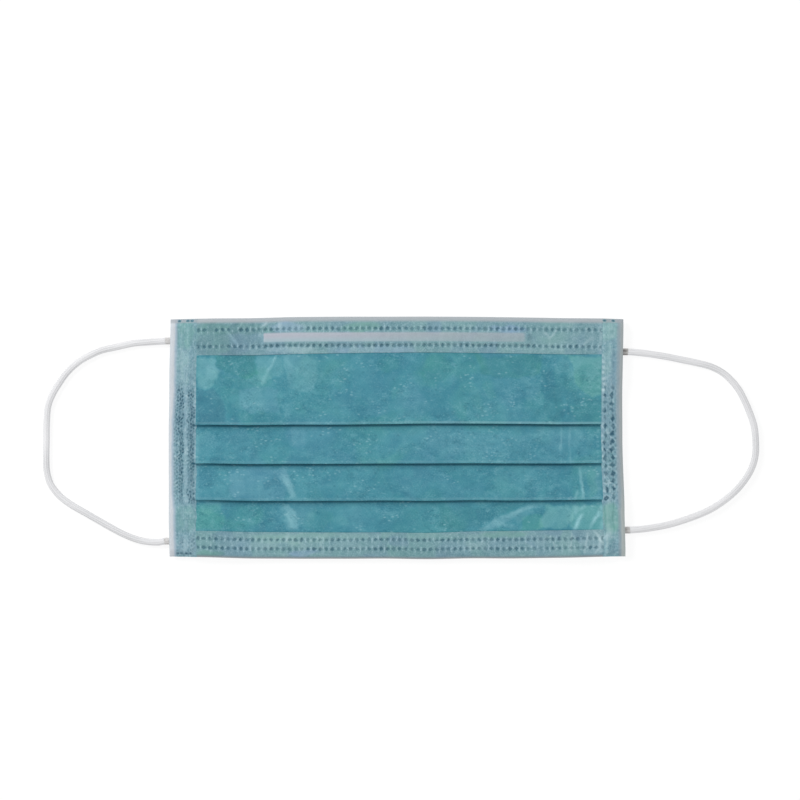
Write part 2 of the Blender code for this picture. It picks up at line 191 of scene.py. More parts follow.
# Columns of weld marks in the side bindings: how far in from the mask's side edge, how high the
# first mark sits in shares of the pitch, half the width and half the height of a mark, and how
# dark it is. They lie dense between two heights. END_MARKS has how far in the marks at the nose
# end, 1, and at the chin end, -1, are.
MARK_PITCH = {-1: 0.00145, 1: 0.0030}
DENSE_FROM = (-0.0262, -0.0240)
DENSE_TO = (0.0165, 0.0225)
MARKS = {
    -1: (
        (0.0023, 0, 0.0005, 0.00072, 0.6), (0.0033, 0.5, 0.00052, 0.00075, 0.75),
        (0.0043, 0.05, 0.00056, 0.0008, 0.9), (0.0052, 0.55, 0.00056, 0.0008, 0.95),
        (0.0076, 0.3, 0.00052, 0.00075, 0.8), (0.0086, 0.8, 0.00056, 0.0008, 1),
        (0.0095, 0.3, 0.00052, 0.00075, 0.9),
    ),
    1: (
        (0.0041, 0, 0.001, 0.0014, 0.95), (0.0053, 0.5, 0.00045, 0.0008, 0.45),
        (0.0069, 0.05, 0.00075, 0.0012, 1), (0.0028, 0.5, 0.00045, 0.0008, 0.45),
    ),
}
END_MARKS = {
    -1: {1: (0.0035, 0.0068, 0.0085), -1: (0.0032, 0.0048, 0.0066, 0.0082)},
    1: {1: (0.0040, 0.0074)},
}

# Creases in the outer ply, in millimetres on the mask's front: x and y where one starts, x and y
# where it ends, its width, how far the cloth dips there, or stands up if that is below 0, and how
# much paler it is, which is painted light and shade: paler where a crease stands up and darker
# where it dips. An eighth number is the pitch at which the crease is broken up.
CREASES = (
    (-46.6, 31.6, -49.6, 26, 0.5, -0.12, 0.42), (-49.6, 26, -52.2, 20.5, 0.8, -0.1, 0.2),
    (-48.4, 30.6, -51, 27.2, 0.5, -0.06, 0.1), (-42.7, 30.8, -40.6, 26.6, 0.8, -0.06, 0.1),
    (-40.6, 26.6, -42.4, 20.4, 0.8, -0.05, 0.07), (-41.6, 12.6, -42.3, 7, 0.9, -0.06, 0.11),
    (-65.9, 14, -65.6, 6.2, 0.5, -0.05, 0.08), (-59, 13.5, -57.6, 6.5, 0.8, -0.06, 0.08),
    (-52.6, 10, -51.4, 6.4, 0.7, -0.05, 0.07), (64.6, 17.8, 65.2, 6.8, 0.8, -0.1, 0.13),
    (60.6, 18.6, 61.8, 9, 0.6, 0.06, -0.06), (57, 22.3, 57.6, 16, 0.9, -0.06, 0.08),
    (68.6, 18, 68.9, 7, 0.8, 0.08, -0.09), (63.2, 4, 63.4, -9.4, 0.4, -0.06, 0.22),
    (66.7, 3.8, 66.9, -9.2, 0.4, -0.06, 0.18), (70.8, -11.2, 70.8, -17.4, 0.45, -0.12, 0.38),
    (71.2, -16.4, 71.9, -23.2, 0.5, -0.14, 0.48), (69.6, -20, 68.4, -24, 0.5, -0.08, 0.26),
    (-44.7, -13.8, -41.6, -18.4, 1.2, -0.1, 0.12), (-41.6, -18.4, -40, -23.4, 1.2, -0.1, 0.14),
    (-44.6, -25.6, -42.2, -30.8, 1.3, -0.1, 0.11), (-42.2, -30.8, -40.4, -35.6, 1.5, -0.1, 0.15),
    (71.6, -29.6, 68.2, -35.2, 0.6, -0.14, 0.55), (78, -28.2, 74.2, -34.8, 0.6, -0.14, 0.55),
    (69.2, -26.6, 69.2, -29.2, 0.8, -0.08, 0.36), (72.6, -25.6, 70.6, -27.6, 0.6, -0.08, 0.3),
    (33, -34.4, 41, -30.2, 0.8, -0.08, 0.24), (41, -30.2, 48.6, -27, 0.9, -0.08, 0.18),
    (48.6, -27, 57, -25.4, 0.9, -0.06, 0.08), (35.4, -32.2, 45.6, -34.2, 0.8, -0.06, 0.16),
    (52, -29, 61, -26.2, 1, 0.06, -0.05), (-76.8, 3.2, -77.1, -23, 0.9, 0, 0.19),
    (-76.6, 31, -76.8, 18.6, 0.9, 0, -0.1), (-74.9, -24.8, -77, -35, 0.8, 0, -0.03),
    (77.9, 31.6, 77.6, 15, 0.8, 0, 0.16, 2.4), (77.5, 4.2, 77.7, -10, 0.6, 0, 0.22, 1.9),
    (77.6, -12, 77.8, -23, 0.9, 0, 0.16, 2.6), (79.6, -26, 79.6, -35, 1.2, -0.05, 0.4),
)

# Creases in the nose and chin hems, in the same way
HEM_CREASES = (
    (-65.2, 40.6, -61.2, 36.4, 0.45, -0.06, 0.36), (-52, 42.6, -49.2, 45, 0.5, -0.08, 0.43),
    (-52.4, 42.6, -53, 38.6, 0.4, -0.04, 0.22), (-59.6, 44.6, -60.4, 42.6, 0.4, -0.04, 0.29),
    (-45.2, 45, -45, 41.4, 0.4, -0.05, 0.32), (-44.2, 45, -44.3, 42, 0.4, -0.05, 0.22),
    (56.6, 40.4, 58.6, 38.2, 0.45, -0.06, 0.4), (61, 40.8, 58.8, 38.4, 0.45, -0.06, 0.36),
    (66.4, 45, 66.2, 42.2, 0.35, -0.04, 0.25), (67.4, 45, 67.3, 42.2, 0.35, -0.04, 0.22),
    (71, 35.6, 76.2, 38.6, 0.6, -0.05, 0.25), (78.6, 44, 78.4, 33, 0.7, -0.05, 0.29),
    (51, 37.2, 51.2, 39.8, 0.5, 0.05, -0.25), (-71.6, -36.8, -71.4, -44.6, 0.35, -0.05, 0.25),
    (-70.6, -36.8, -70.4, -44.6, 0.35, 0.05, -0.18), (-29.8, -38, -29, -44.6, 0.5, -0.05, 0.22),
    (-41.4, -37, -42.6, -40.4, 0.6, -0.05, 0.18), (60.6, -38, 60.4, -43.6, 0.4, -0.05, 0.22),
    (67.2, -36.8, 66.8, -43.6, 0.45, -0.05, 0.29), (79.8, -37.6, 76.1, -45, 0.7, -0.1, 0.34),
    (79.8, -41, 77.8, -45, 0.6, -0.08, 0.26), (76.2, -36.2, 79.4, -40.4, 0.6, -0.08, 0.43),
    (73, -36.4, 72.4, -44.2, 0.4, -0.06, 0.29),
)

# Flat faces of the crumpled outer ply: how much paler each is, which is painted light and shade of
# the face, how much it turns from blue to green, and its corners in millimetres on the mask's front
FACES = (
    (0.2, 0.15, ((-77, 30.6), (-69.3, 30.6), (-68.2, 25.5), (-70.5, 20.5), (-74.5, 18.8), (-77, 20))),
    (0.09, 0, ((-74, 27.5), (-69.8, 27.5), (-69.4, 22.8), (-73.6, 22))),
    (-0.12, 0.4, ((-69, 31.8), (-55, 31.8), (-53.5, 25), (-58, 22.8), (-64.5, 24.5), (-68.5, 27))),
    (-0.15, -0.28, ((-77, 18.5), (-70.5, 19.5), (-66.5, 14), (-65.8, 5.4), (-77, 5.4))),
    (0.08, -0.25, ((-61, 18.5), (-52, 19.6), (-45, 18), (-45.5, 10), (-56, 9), (-60.5, 12.5))),
    (0.14, 0.1, ((-54.5, 31.5), (-44, 31.8), (-43, 24), (-50, 22.5), (-52.5, 20.5), (-54, 24))),
    (0.13, 0.05, ((-43.5, 31.8), (-35, 31.8), (-31, 29), (-30.5, 22), (-34, 17.5), (-42, 19))),
    (0.07, -0.35, ((-64, -11.6), (-44, -11.4), (-41, -16), (-43, -23.6), (-62, -23.8), (-65, -17))),
    (-0.16, -0.1, ((-51.5, -16), (-46, -15.4), (-44.5, -18.6), (-51, -19))),
    (0.18, -0.05, ((-44.7, -13.6), (-42, -14.4), (-39.7, -17.8), (-38.9, -22.9), (-40.8, -23.6),
     (-42.3, -18.6))),
    (0.03, 0.42, ((-77, -26), (-67.5, -26), (-66, -31), (-68, -35.2), (-77, -35.2))),
    (0.23, -0.05, ((-43.5, -25.2), (-41.2, -25.2), (-38.9, -28.7), (-37.3, -34.8), (-40.4, -35.2),
     (-42, -29.8))),
    (-0.11, 0.1, ((16.7, -26), (49.1, -26), (34.4, -34.1), (16.7, -35.4))),
    (0.18, -0.05, ((32.1, -35.2), (41.8, -31.2), (45.6, -28.4), (51.4, -26.2), (54, -26.2),
     (48, -29.2), (43.5, -32.4), (35, -35.6))),
    (-0.03, 0.5, ((48.7, -31), (56, -29.5), (56, -35.2), (47, -35.2))),
    (0.19, 0.35, ((57.6, -26), (66.1, -26), (67.5, -30.5), (65, -35), (54.5, -35))),
    (0.15, 0.45, ((66.8, -26), (80, -26), (80, -35.4), (66.2, -35.4))),
    (-0.11, 0.4, ((30, 31.5), (57, 31.5), (55.5, 25), (46, 22.5), (33, 24.5))),
    (0.14, 0.6, ((66.5, 31.5), (79.5, 31.5), (79.5, 17.5), (74.5, 15.5), (69, 20.5))),
    (-0.09, -0.05, ((56, 26), (66, 24.5), (66.5, 9), (60, 6), (56, 10))),
    (-0.09, 0, ((69.6, 15.7), (78.4, 15.7), (78.4, 6), (69.6, 6))),
    (0.07, 0.1, ((48.5, 22), (56, 21), (56.4, 14.2), (50, 14.2))),
)
FACE_EDGE = 0.5

# Rounder patches of the outer ply: x and y of the middle, half the width and half the height in
# millimetres, how much paler it is, and how much it turns from blue to green
PATCHES = (
    (-23, 25, 8, 6, 0.03, 0.15), (-16, 12.5, 5, 5, -0.06, 0), (-3, 29, 7, 3.6, -0.03, 0.3),
    (14.5, 26, 5.6, 6, -0.05, 0.3), (6, 13.5, 6, 7, 0.03, -0.25), (42, 10.5, 12, 5, 0.02, -0.15),
    (-30, -2.5, 44, 6, -0.02, -0.15), (-39.5, 0.5, 4, 3, 0.04, -0.15),
    (35, -2.5, 44, 6, 0.04, -0.15), (63, 0, 9, 5, 0.09, 0), (75, 25, 2.6, 3.6, 0.1, 0),
    (53.4, 11, 3.2, 3.4, -0.05, 0), (-64.5, -12, 5.4, 2.6, -0.07, 0),
    (-57, -2.4, 7.6, 2.8, -0.06, 0), (-36.4, -28, 4.8, 5, 0.07, 0),
    (49.4, -28.4, 3.2, 2.6, 0.08, 0), (-73, -17.5, 5, 6, -0.05, -0.1), (-18, -17, 16, 6, -0.02, 0),
    (42, -17, 14, 5, 0.01, -0.05), (76, -17.5, 2.6, 5, 0.05, 0.35), (-60, -31, 9, 5, -0.01, 0.25),
    (-50, -31, 5, 4, -0.07, 0.1), (-29.5, -31, 6, 4.4, 0.01, 0.25), (-17.5, -30.5, 6, 4, 0.05, 0),
    (4, -31, 13, 5, -0.03, 0),
)

# Patches of the two hems, then creases and patches of the two side bindings, in the same way
HEM_PATCHES = (
    (-62, 42, 16, 2.6, -0.11, 0.4), (-64.5, 36, 14, 4.6, -0.14, 0), (-70, 39, 8, 8, -0.05, 0.1),
    (-56, 37, 6, 5, 0, -0.15), (-43, 43.2, 8, 2, 0.1, -0.7), (-41, 34, 9, 1.8, 0.2, 0),
    (-14, 43, 8, 2.4, 0, 0.8), (-8, 34, 16, 1.8, 0.09, -0.3), (42, 42.4, 8, 1.6, 0, -0.6),
    (58, 41.5, 10, 5, -0.01, 0.2), (-72, -41, 7, 5, -0.05, 0.1), (-72, -44.4, 6, 1.2, -0.08, 0.7),
    (0, -43.8, 60, 1.4, -0.08, 0.1), (0, -37.4, 60, 1.2, 0.04, 0.25),
    (-40, -38.2, 20, 2.2, 0.08, 0.4), (-36, -44.4, 6, 1.4, 0.02, -0.6),
    (8, -41, 22, 5, -0.03, 0.05), (-55, -41.8, 10, 2.2, 0.07, 0), (27, -41.8, 8.5, 2.4, 0.09, 0),
    (44, -41, 9, 4, -0.03, -0.2), (76, -39.5, 5, 6, 0.12, 0.05), (42, -37, 9, 1.6, -0.04, 0.35),
)
BINDING_CREASES = (
    (-84.3, 45.6, -84.4, 36, 0.4, 0, -0.2), (-81.3, 45.6, -81.2, 39, 0.35, 0, -0.12),
    (-78.9, 45, -79, 36, 0.35, 0, -0.16), (-80.2, 42, -80.1, 35, 0.4, 0, 0.1),
    (-82.6, 44, -82.8, 31, 0.5, 0, 0.08), (-79.2, 33, -79.4, 21, 0.45, 0, -0.12),
    (-80.6, 31, -80.8, 21, 0.4, 0, 0.1), (-83.4, 31, -83.2, 22, 0.9, 0, 0.14, 2),
    (-81.4, 19, -81.4, -25, 0.7, 0, 0.16), (-82.6, 17, -82.6, -24, 1.3, 0, -0.2),
    (-79.2, 17, -79, -24, 1.4, 0, -0.24), (82.8, 17, 83, -24, 1.6, 0, -0.15),
    (80.2, 17, 80.6, -24, 0.9, 0, -0.18), (-84.2, -36, -84.6, -44, 0.5, 0, -0.2, 1.6),
    (-81.8, -36, -82, -44, 0.5, 0, 0.16, 1.9), (-80, -34, -80.2, -44.5, 0.5, 0, -0.2, 2.2),
    (83.3, 44, 83.2, 37, 0.45, 0, -0.14, 3), (83.4, 36, 83.6, 27, 0.8, 0, -0.14, 3.6),
    (80.6, 43, 80.8, 34, 0.4, 0, -0.1), (79.5, 42, 79.5, 32, 0.6, 0, 0.22, 2.6),
    (79.3, 31.6, 79.6, 15, 0.65, 0, 0.58, 2.2), (79.4, 4.2, 79.6, -9.6, 0.5, 0, 0.45, 2.9),
    (80.4, -12, 80.6, -24, 0.55, 0, 0.45, 2.7), (-77.2, 30, -77.2, 6.5, 0.5, 0, 0.26, 2.3),
    (-77, 4, -76.6, -23, 0.6, 0, 0.38, 2.6), (-76.4, 5, -79, 5.1, 0.4, 0, -0.7),
    (-76.4, -9.8, -78.8, -9.7, 0.4, 0, -0.7), (-76.4, -23.9, -78.4, -23.8, 0.4, 0, -0.6),
    (81.4, 33, 81.6, 17, 0.6, 0, 0.12, 2.2), (80.3, -24.6, 80.2, -37.6, 0.28, 0, -0.22),
    (83.4, -24.6, 83.3, -37.6, 0.3, 0, -0.22), (80.9, -24.6, 81.4, -37, 0.6, 0, 0.1),
    (82, -36.2, 79.8, -39, 0.7, 0, 0.32), (81, -39, 80.6, -44.8, 0.5, 0, 0.26),
    (84.4, -38, 84.2, -44.8, 0.4, 0, 0.14), (80.6, -38.2, 84.6, -38.4, 0.4, 0, 0.16),
)
BINDING_PATCHES = (
    (-81.5, 40, 4.6, 6, -0.02, 0.45), (-82.5, 27, 4, 8, 0.12, 0.1),
    (-79.6, 25, 1.3, 8, -0.08, -0.05), (-82, 7, 5, 11, -0.04, -0.1),
    (-82, -31.5, 5, 5, -0.06, 0.35), (-81, -41.5, 4, 4, 0.06, -0.15), (82, 42, 4, 5, 0.14, 0.4),
    (81, 32, 2, 8, 0.06, 0.2), (84, 26, 2.4, 9, 0.02, -0.3), (82.5, -11, 3.4, 8, 0, 0.15),
    (82.5, -30.5, 4, 6.4, 0.03, 0.75), (82.8, -41.8, 2.2, 3.2, -0.12, 0),
    (80.4, -41, 1.4, 5, 0.1, 0.1),
)

# Stage: the lamps with their place, size and power, the table and the surroundings
LAMPS = (("key", (-0.62, 0.48, 0.62), 0.40, 4.0), ("fill", (0.6, -0.3, 1.1), 0.9, 1.6))
TABLE_HALF = 1.5
TABLE_GLOW = 0.74
SKY_GLOW = 0.66
WHITE = (1.0, 1.0, 1.0, 1.0)

# What cloth tends to where it is darker, by its own tone and by painted shade, how little cloth
# shines, and the pitch of the bond points
DARK_TONE_AND_SHADE = (20, 76, 94)
CLOTH_SHINE = 0.12
BOND_PITCH = 0.00095


def ease(value, start, end):
    """0 before start, 1 after end, and a smooth step between them."""
    t = np.clip((value - start) / (end - start), 0.0, 1.0)
    return t * t * (3 - 2 * t)


def roughen(x, y, cell, seed):
    """Smooth random heights from -1 to 1 over the plane, about cell apart."""
    table = np.random.default_rng(seed).uniform(-1.0, 1.0, (128, 128))
    u, v = x / cell + 40.3, y / cell + 50.7
    i, j = np.floor(u).astype(int), np.floor(v).astype(int)
    s, t = ease(u - i, 0.0, 1.0), ease(v - j, 0.0, 1.0)
    near = table[i % 128, j % 128] * (1 - s) + table[(i + 1) % 128, j % 128] * s
    far = table[i % 128, (j + 1) % 128] * (1 - s) + table[(i + 1) % 128, (j + 1) % 128] * s
    return near * (1 - t) + far * t


def join(*values):
    """Values at each point, side by side in one array."""
    return np.stack(np.broadcast_arrays(*values), axis=-1)


def spread(start, end, step):
    """Evenly spaced values from start to end, both included, about step apart."""
    return np.linspace(start, end, max(2, round(abs(end - start) / step) + 1))


def arc(centre_u, centre_v, radius, start_degrees, turn_degrees, steps):
    """The two coordinates of points round an arc, without its first point."""
    angles = np.radians(start_degrees + turn_degrees * np.arange(1, steps + 1) / steps)
    return centre_u + radius * np.cos(angles), centre_v + radius * np.sin(angles)


def side_bow(up, x):
    """How far the side edge on x's side stands out of its straight line at a height."""
    heights, *sides = zip(*SIDE_OUTLINE)
    bows = []
    for shares in sides:
        values = [share * MASK_WIDTH for share in shares]
        bow = np.full_like(up, values[0])
        for k in range(len(values) - 1):
            bow = bow + (values[k + 1] - values[k]) * ease(up, heights[k], heights[k + 1])
        bows.append(bow)
    return np.where(x < 0, *bows)


def weld_line(x):
    """How far out the side weld is on a point's side."""
    return np.where(x < 0, WELD_LINES[-1], WELD_LINES[1])


def corner_lift(x, y):
    """How far the cloth is raised where it lies over the welded loop ends."""
    lift = np.zeros_like(x)
    full_x = HALF_WIDTH - LOOP_WELD_LENGTH - LIFT_MARGIN
    for weld in LOOP_WELDS:
        here = (np.sign(x) == weld["side"]) & (y * weld["up"] > 0)
        full_y = abs(weld["up"]) * HALF_HEIGHT - LOOP_WELD_WIDTH / 2 - LIFT_MARGIN
        across = ease(np.abs(x), full_x - LIFT_REACH_X, full_x)
        along = ease(np.abs(y), full_y - LIFT_REACH_Y, full_y)
        lift = np.where(here, CORNER_LIFT * across * along, lift)
    return lift


def seen(x, y):
    """Where points of the flat pattern lie as seen from the front."""
    across, up = x / HALF_WIDTH, y / HALF_HEIGHT
    bow = np.sign(x) * side_bow(up, x) * np.abs(across) ** 3
    crown = EDGE_CROWN * np.maximum(0.0, 1 - across * across) * up
    wander = 0.00022 * roughen(x, 0.3 * y, 0.017, 5)
    return x + bow, y + crown + wander


def settle(x, y, z, welded):
    """Moves points of the flat pattern to where the mask lies. welded are their heights at the
    side welds."""
    line = weld_line(x)
    level = z + (welded - z) * ease(np.abs(x), line - PRESS_FROM, line - PRESS_TO)
    corner = ease(np.abs(x), line, line + CORNER_X) * ease(np.abs(y), CORNER_Y, HALF_HEIGHT)
    return join(*seen(x, y), level * (1 - CORNER_PRESS * corner) + corner_lift(x, y))


def line_distance(x, y, start, end):
    """Distance in millimetres of points in metres from a line, and how far along it they are."""
    start, end = np.array(start), np.array(end)
    run = end - start
    u, v = x * 1000 - start[0], y * 1000 - start[1]
    along = np.clip((u * run[0] + v * run[1]) / (run @ run), 0.0, 1.0)
    return np.hypot(u - along * run[0], v - along * run[1]), along


def crease_map(x, y, creases):
    """Height in metres that creases give a ply, and their paleness, which is painted light and shade."""
    height, light = np.zeros_like(x), np.zeros_like(x)
    wobble_x = x + 0.0005 * roughen(x, y, 0.0040, 11) + 0.00015 * roughen(x, y, 0.0012, 13)
    wobble_y = y + 0.0005 * roughen(x, y, 0.0040, 12) + 0.00015 * roughen(x, y, 0.0012, 14)
    for start_x, start_y, end_x, end_y, width, depth, paler, *dash in creases:
        start, end = (start_x, start_y), (end_x, end_y)
        distance, along = line_distance(wobble_x, wobble_y, start, end)
        strength = np.exp(-((distance / width) ** 2)) * (1 - 0.5 * np.abs(2 * along - 1) ** 3)
        if dash:
            waves = along * math.dist(start, end) / dash[0]
            strength = strength * (0.45 + 0.55 * np.cos(math.tau * waves))
        height -= 0.001 * depth * strength
        light += paler * strength
    return height, light * (1 + 0.35 * roughen(x, y, 0.0014, 15))


def patch_map(x, y, patches, wander):
    """Paleness and greenness of the broad patches of a ply."""
    light, green = np.zeros_like(x), np.zeros_like(x)
    shift_x = 2.6 * roughen(x, y, 0.009, 21) + 1.6 * roughen(x, y, 0.0035, 23)
    shift_y = 1.5 * roughen(x, y, 0.007, 22) + 1.2 * roughen(x, y, 0.0035, 24)
    for at_x, at_y, half_x, half_y, paler, greener in patches:
        away_x = x * 1000 + wander * shift_x - at_x
        away_y = y * 1000 + wander * shift_y - at_y
        strength = 1 - ease(np.hypot(away_x / half_x, away_y / half_y), 0.70, 1.20)
        light += paler * strength
        green += greener * strength
    return light, green


def face_map(x, y, faces):
    """Painted light and shade, as paleness, and greenness of faces with straight edges."""
    light, green = np.zeros_like(x), np.zeros_like(x)
    x = x + 0.0008 * roughen(x, y, 0.0045, 25) + 0.0004 * roughen(x, y, 0.0016, 27)
    y = y + 0.0008 * roughen(x, y, 0.0045, 26) + 0.0004 * roughen(x, y, 0.0016, 28)
    for paler, greener, corners in faces:
        inside, nearest = np.zeros(x.shape, bool), np.full(x.shape, np.inf)
        for start, end in zip(corners, corners[1:] + corners[:1]):
            if start[1] != end[1]:
                share = (y * 1000 - start[1]) / (end[1] - start[1])
                edge = start[0] + share * (end[0] - start[0])
                inside ^= (share >= 0) & (share < 1) & (x * 1000 < edge)
            nearest = np.minimum(nearest, line_distance(x, y, start, end)[0])
        strength = ease(np.where(inside, nearest, -nearest), -FACE_EDGE, FACE_EDGE)
        light += paler * strength
        green += greener * strength
    return light, green


def marks_of(x, y, creases, patches, wander=1.0):
    """The height, paleness and greenness that a ply's creases and patches give it. The creases'
    paleness is painted light and shade.
    """
    x, y = seen(x, y)
    height, crease_light = crease_map(x, y, creases)
    light, green = patch_map(x, y, patches, wander)
    return height, light + crease_light, green


def facets(x, y, cell, seed):
    """Flat facets of crumpled cloth: a tone from -1 to 1 in each, and 1 on the lines between. The tones
    are used as painted light and shade of the facets, and as shifts of hue.
    """
    table = np.random.default_rng(seed).uniform(-1.0, 1.0, (5, 64, 64))
    u = x / cell + 20.4 + 0.35 * roughen(x, y, 0.9 * cell, seed + 1)
    v = y / cell + 20.6 + 0.35 * roughen(x, y, 0.9 * cell, seed + 2)
    i, j = np.floor(u).astype(int), np.floor(v).astype(int)
    near, far = np.full_like(u, 9.0), np.full_like(u, 9.0)
    tone, other = np.zeros_like(u), np.zeros_like(u)
    for down in (-1, 0, 1):
        for over in (-1, 0, 1):
            p, q = (i + over) % 64, (j + down) % 64
            away_u = u - (i + over + 0.5 + 0.45 * table[0, p, q])
            away_v = v - (j + down + 0.5 + 0.45 * table[1, p, q])
            distance = np.hypot(away_u, away_v)
            here = table[2, p, q] + 0.9 * (table[3, p, q] * away_u + table[4, p, q] * away_v)
            closer, second = distance < near, (distance >= near) & (distance < far)
            other = np.where(closer, tone, np.where(second, here, other))
            far = np.where(closer, near, np.where(second, distance, far))
            tone = np.where(closer, here, tone)
            near = np.where(closer, distance, near)
    share = 0.5 + 0.5 * ease(far - near, 0.0, 0.16)
    return tone * share + other * (1 - share), 1 - ease(far - near, 0.02, 0.14)


def undulation(x, y):
    """Height of the soft unevenness of loose cloth, which fades out at the welds."""
    line = weld_line(x)
    loose = 1 - ease(np.abs(x), line - 0.007, line + 0.001)
    hems = ease(y, -0.038, -0.031) * (1 - ease(y, 0.027, 0.034))
    broad = 0.00016 * roughen(x, y * 1.6, 0.017, 1) + 0.00010 * roughen(x, y, 0.008, 2)
    small = 0.000035 * roughen(x, y, 0.0026, 3) + 0.000018 * roughen(x, y, 0.0012, 4)
    return (broad + small) * loose * (0.22 + 0.78 * hems)


def hem_depth(hem, x):
    """How deep a hem is at each x."""
    left, right = hem["wider"]
    return hem["depth"] + left * ease(-x, *HEM_WIDENS) + right * ease(x, *HEM_WIDENS)


def hem_edges(x):
    """The y of the nose hem's and of the chin hem's free edge at each x."""
    return HALF_HEIGHT - hem_depth(NOSE_HEM, x), hem_depth(CHIN_HEM, x) - HALF_HEIGHT


def new_object(name, data):
    """A new object in the scene."""
    made = bpy.data.objects.new(name, data)
    bpy.context.scene.collection.objects.link(made)
    return made


def mesh_object(name, points, faces, material, values):
    """A smooth mesh on the mask, with the named values at each of its points."""
    data = bpy.data.meshes.new(name)
    data.from_pydata(points.reshape(-1, 3).tolist(), [], faces)
    for key, value in values.items():
        layer = data.attributes.new(key, "FLOAT_VECTOR", "POINT")
        layer.data.foreach_set("vector", value.reshape(-1).astype(np.float32))
    data.shade_smooth()
    data.materials.append(material)
    piece = new_object(name, data)
    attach(piece, "root")
    return piece


def grid_object(name, points, material, values):
    """A smooth sheet from rows of points, with the named values at each of them."""
    rows, columns = points.shape[:2]
    index = np.arange(rows * columns).reshape(rows, columns)
    faces = join(index[:-1, :-1], index[1:, :-1], index[1:, 1:], index[:-1, 1:]).reshape(-1, 4)
    return mesh_object(name, points, faces.tolist(), material, values)


def tube_object(name, rings, material, values):
    """A closed tube from rings of points."""
    count, sides = rings.shape[:2]
    index = np.arange(count * sides).reshape(count, sides)
    after = np.roll(index, -1, axis=1)
    faces = join(index[:-1], after[:-1], after[1:], index[1:]).reshape(-1, 4).tolist()
    faces += [index[0][::-1].tolist(), index[-1].tolist()]
    return mesh_object(name, rings, faces, material, values)


def pleated_profile(folds, step):
    """A pleated ply as (y, z, below) points from its nose edge to its chin edge.

    folds are the y of the folds that show, and below is how far a point that shows is below the
    fold before it."""
    starts = [HALF_HEIGHT - EDGE_MARGIN, *folds]
    stops = [*folds, EDGE_MARGIN - HALF_HEIGHT]
    half = LAYER / 2

    def height(panel, y):
        rise = FIRST_RISE if panel == 0 else (0.0, 0.8 * (starts[panel] - stops[panel]))
        low = OUTER_AT_HEM if panel == 0 else OUTER_START
        top = OUTER_AT_HEM if panel == len(folds) else OUTER_TOP
        return low + (top - low) * ease(starts[panel] - y, *rise)

    rows = []
    for panel, (begin, stop) in enumerate(zip(starts, stops)):
        last = panel == len(folds)
        y = spread(begin, stop if last else stop + half, step)
        rows.append(join(y, height(panel, y), HIDDEN if panel == 0 else begin - y))
        if last:
            break
        back = stop + PLEAT_DEPTH
        behind = spread(stop + half, back - half, HIDDEN_STEP)[1:]
        below = spread(back - half, stop, HIDDEN_STEP)[1:-1]
        turn = float(height(panel, np.array(back - half))) - 1.5 * LAYER
        tucked = (
            arc(stop + half, OUTER_TOP - half, half, 90, 180, 6),
            (behind, height(panel, behind) - LAYER),
            arc(back - half, turn, half, 90, -180, 4),
            (below, height(panel, below) - 2 * LAYER),
        )
        rows += [join(y, z, HIDDEN) for y, z in tucked]
    return np.concatenate(rows)


def path_length(profile):
    """The length along a profile up to each of its points."""
    steps = np.hypot(*np.diff(profile[:, :2], axis=0).T)
    return np.concatenate([[0.0], np.cumsum(steps)])


def laid_out(profile, places):
    """A sheet's places across its profile, and the profile's three values, at all its points."""
    across = np.meshgrid(places, profile[:, 0])[0]
    return across, *(np.repeat(profile[:, k : k + 1], len(places), axis=1) for k in range(3))


def ply_columns(step):
    """The x of a ply's columns, from under one side binding to under the other."""
    return spread(-WELD_LINES[-1] - PLY_TUCK[-1], WELD_LINES[1] + PLY_TUCK[1], step)


def crumple_map(x, y):
    """Painted light and shade, as paleness, and greenness that the facets of the crumpled outer ply give,
    most at its sides.
    """
    where = 0.40 + 0.45 * np.maximum(1 - ease(x, -0.070, -0.022), ease(x, 0.048, 0.066))
    broad, broad_lines = facets(x, y * 1.25, 0.0125, 81)
    small, small_lines = facets(x * 1.2, y, 0.0055, 85)
    hue, _ = facets(x, y, 0.0160, 89)
    sign = np.sign(roughen(x, y, 0.011, 93))
    light = where * (0.060 * broad + 0.045 * small)
    light += where * (0.050 * broad_lines * sign + 0.030 * small_lines * (roughen(x, y, 0.004, 94) > 0.1))
    return light, 0.22 * hue + 0.10 * small


def under(x):
    """How far a ply sinks below the side binding: 0 before it and 1 well under it."""
    return ease(np.abs(x) - weld_line(x), *SINK_AT_BINDING)


def make_outer_ply(material):
    """The teal ply: three pleats that open downwards, with creases and soft unevenness. Returns
    it with its flat size."""
    profile = pleated_profile(FOLDS, PANEL_STEP)
    length = path_length(profile)
    x, y, z, below = laid_out(profile, ply_columns(PANEL_STEP))
    tilt = FOLD_TILT * ease(x, -0.040, 0.030) * (0.35 + 0.65 * ease(y, -0.004, 0.003))
    y = y + tilt * ease(y, -0.036, -0.028) * (1 - ease(y, 0.012, 0.028))
    nose, chin = hem_edges(x)
    under_hem = ease(np.maximum(y - nose, chin - y), *SINK_AT_HEM)
    z = z - HEM_DIP * under_hem
    height, light, green = marks_of(x, y, CREASES, PATCHES)
    face_light, face_green = face_map(*seen(x, y), FACES)
    crumple_light, crumple_green = crumple_map(x, y)
    # Below the nose hem the third value is the distance under the hem, for the painted shadow there
    in_first = (below == HIDDEN) & (y > FOLDS[0] + CLEAR_OF_PLEATS)
    below = np.where(in_first, BELOW_HEM + nose - y, below)
    z = z + undulation(x, y) + height + 0.0006 * crumple_light * (1 - under(x))
    light = light + face_light + crumple_light
    values = {
        "pattern": join(x, -length[:, None], y),
        "tint_and_shade": join(light, green + face_green + crumple_green, below),
    }
    welded = 0.0029 + 0.2 * (z - 0.003) - 0.0006 * under(x) - 0.0003 * under_hem
    piece = grid_object("outer_ply", settle(x, y, z, welded), material, values)
    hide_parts("pleated_panel")
    return piece, (x[0, -1] - x[0, 0], length[-1])


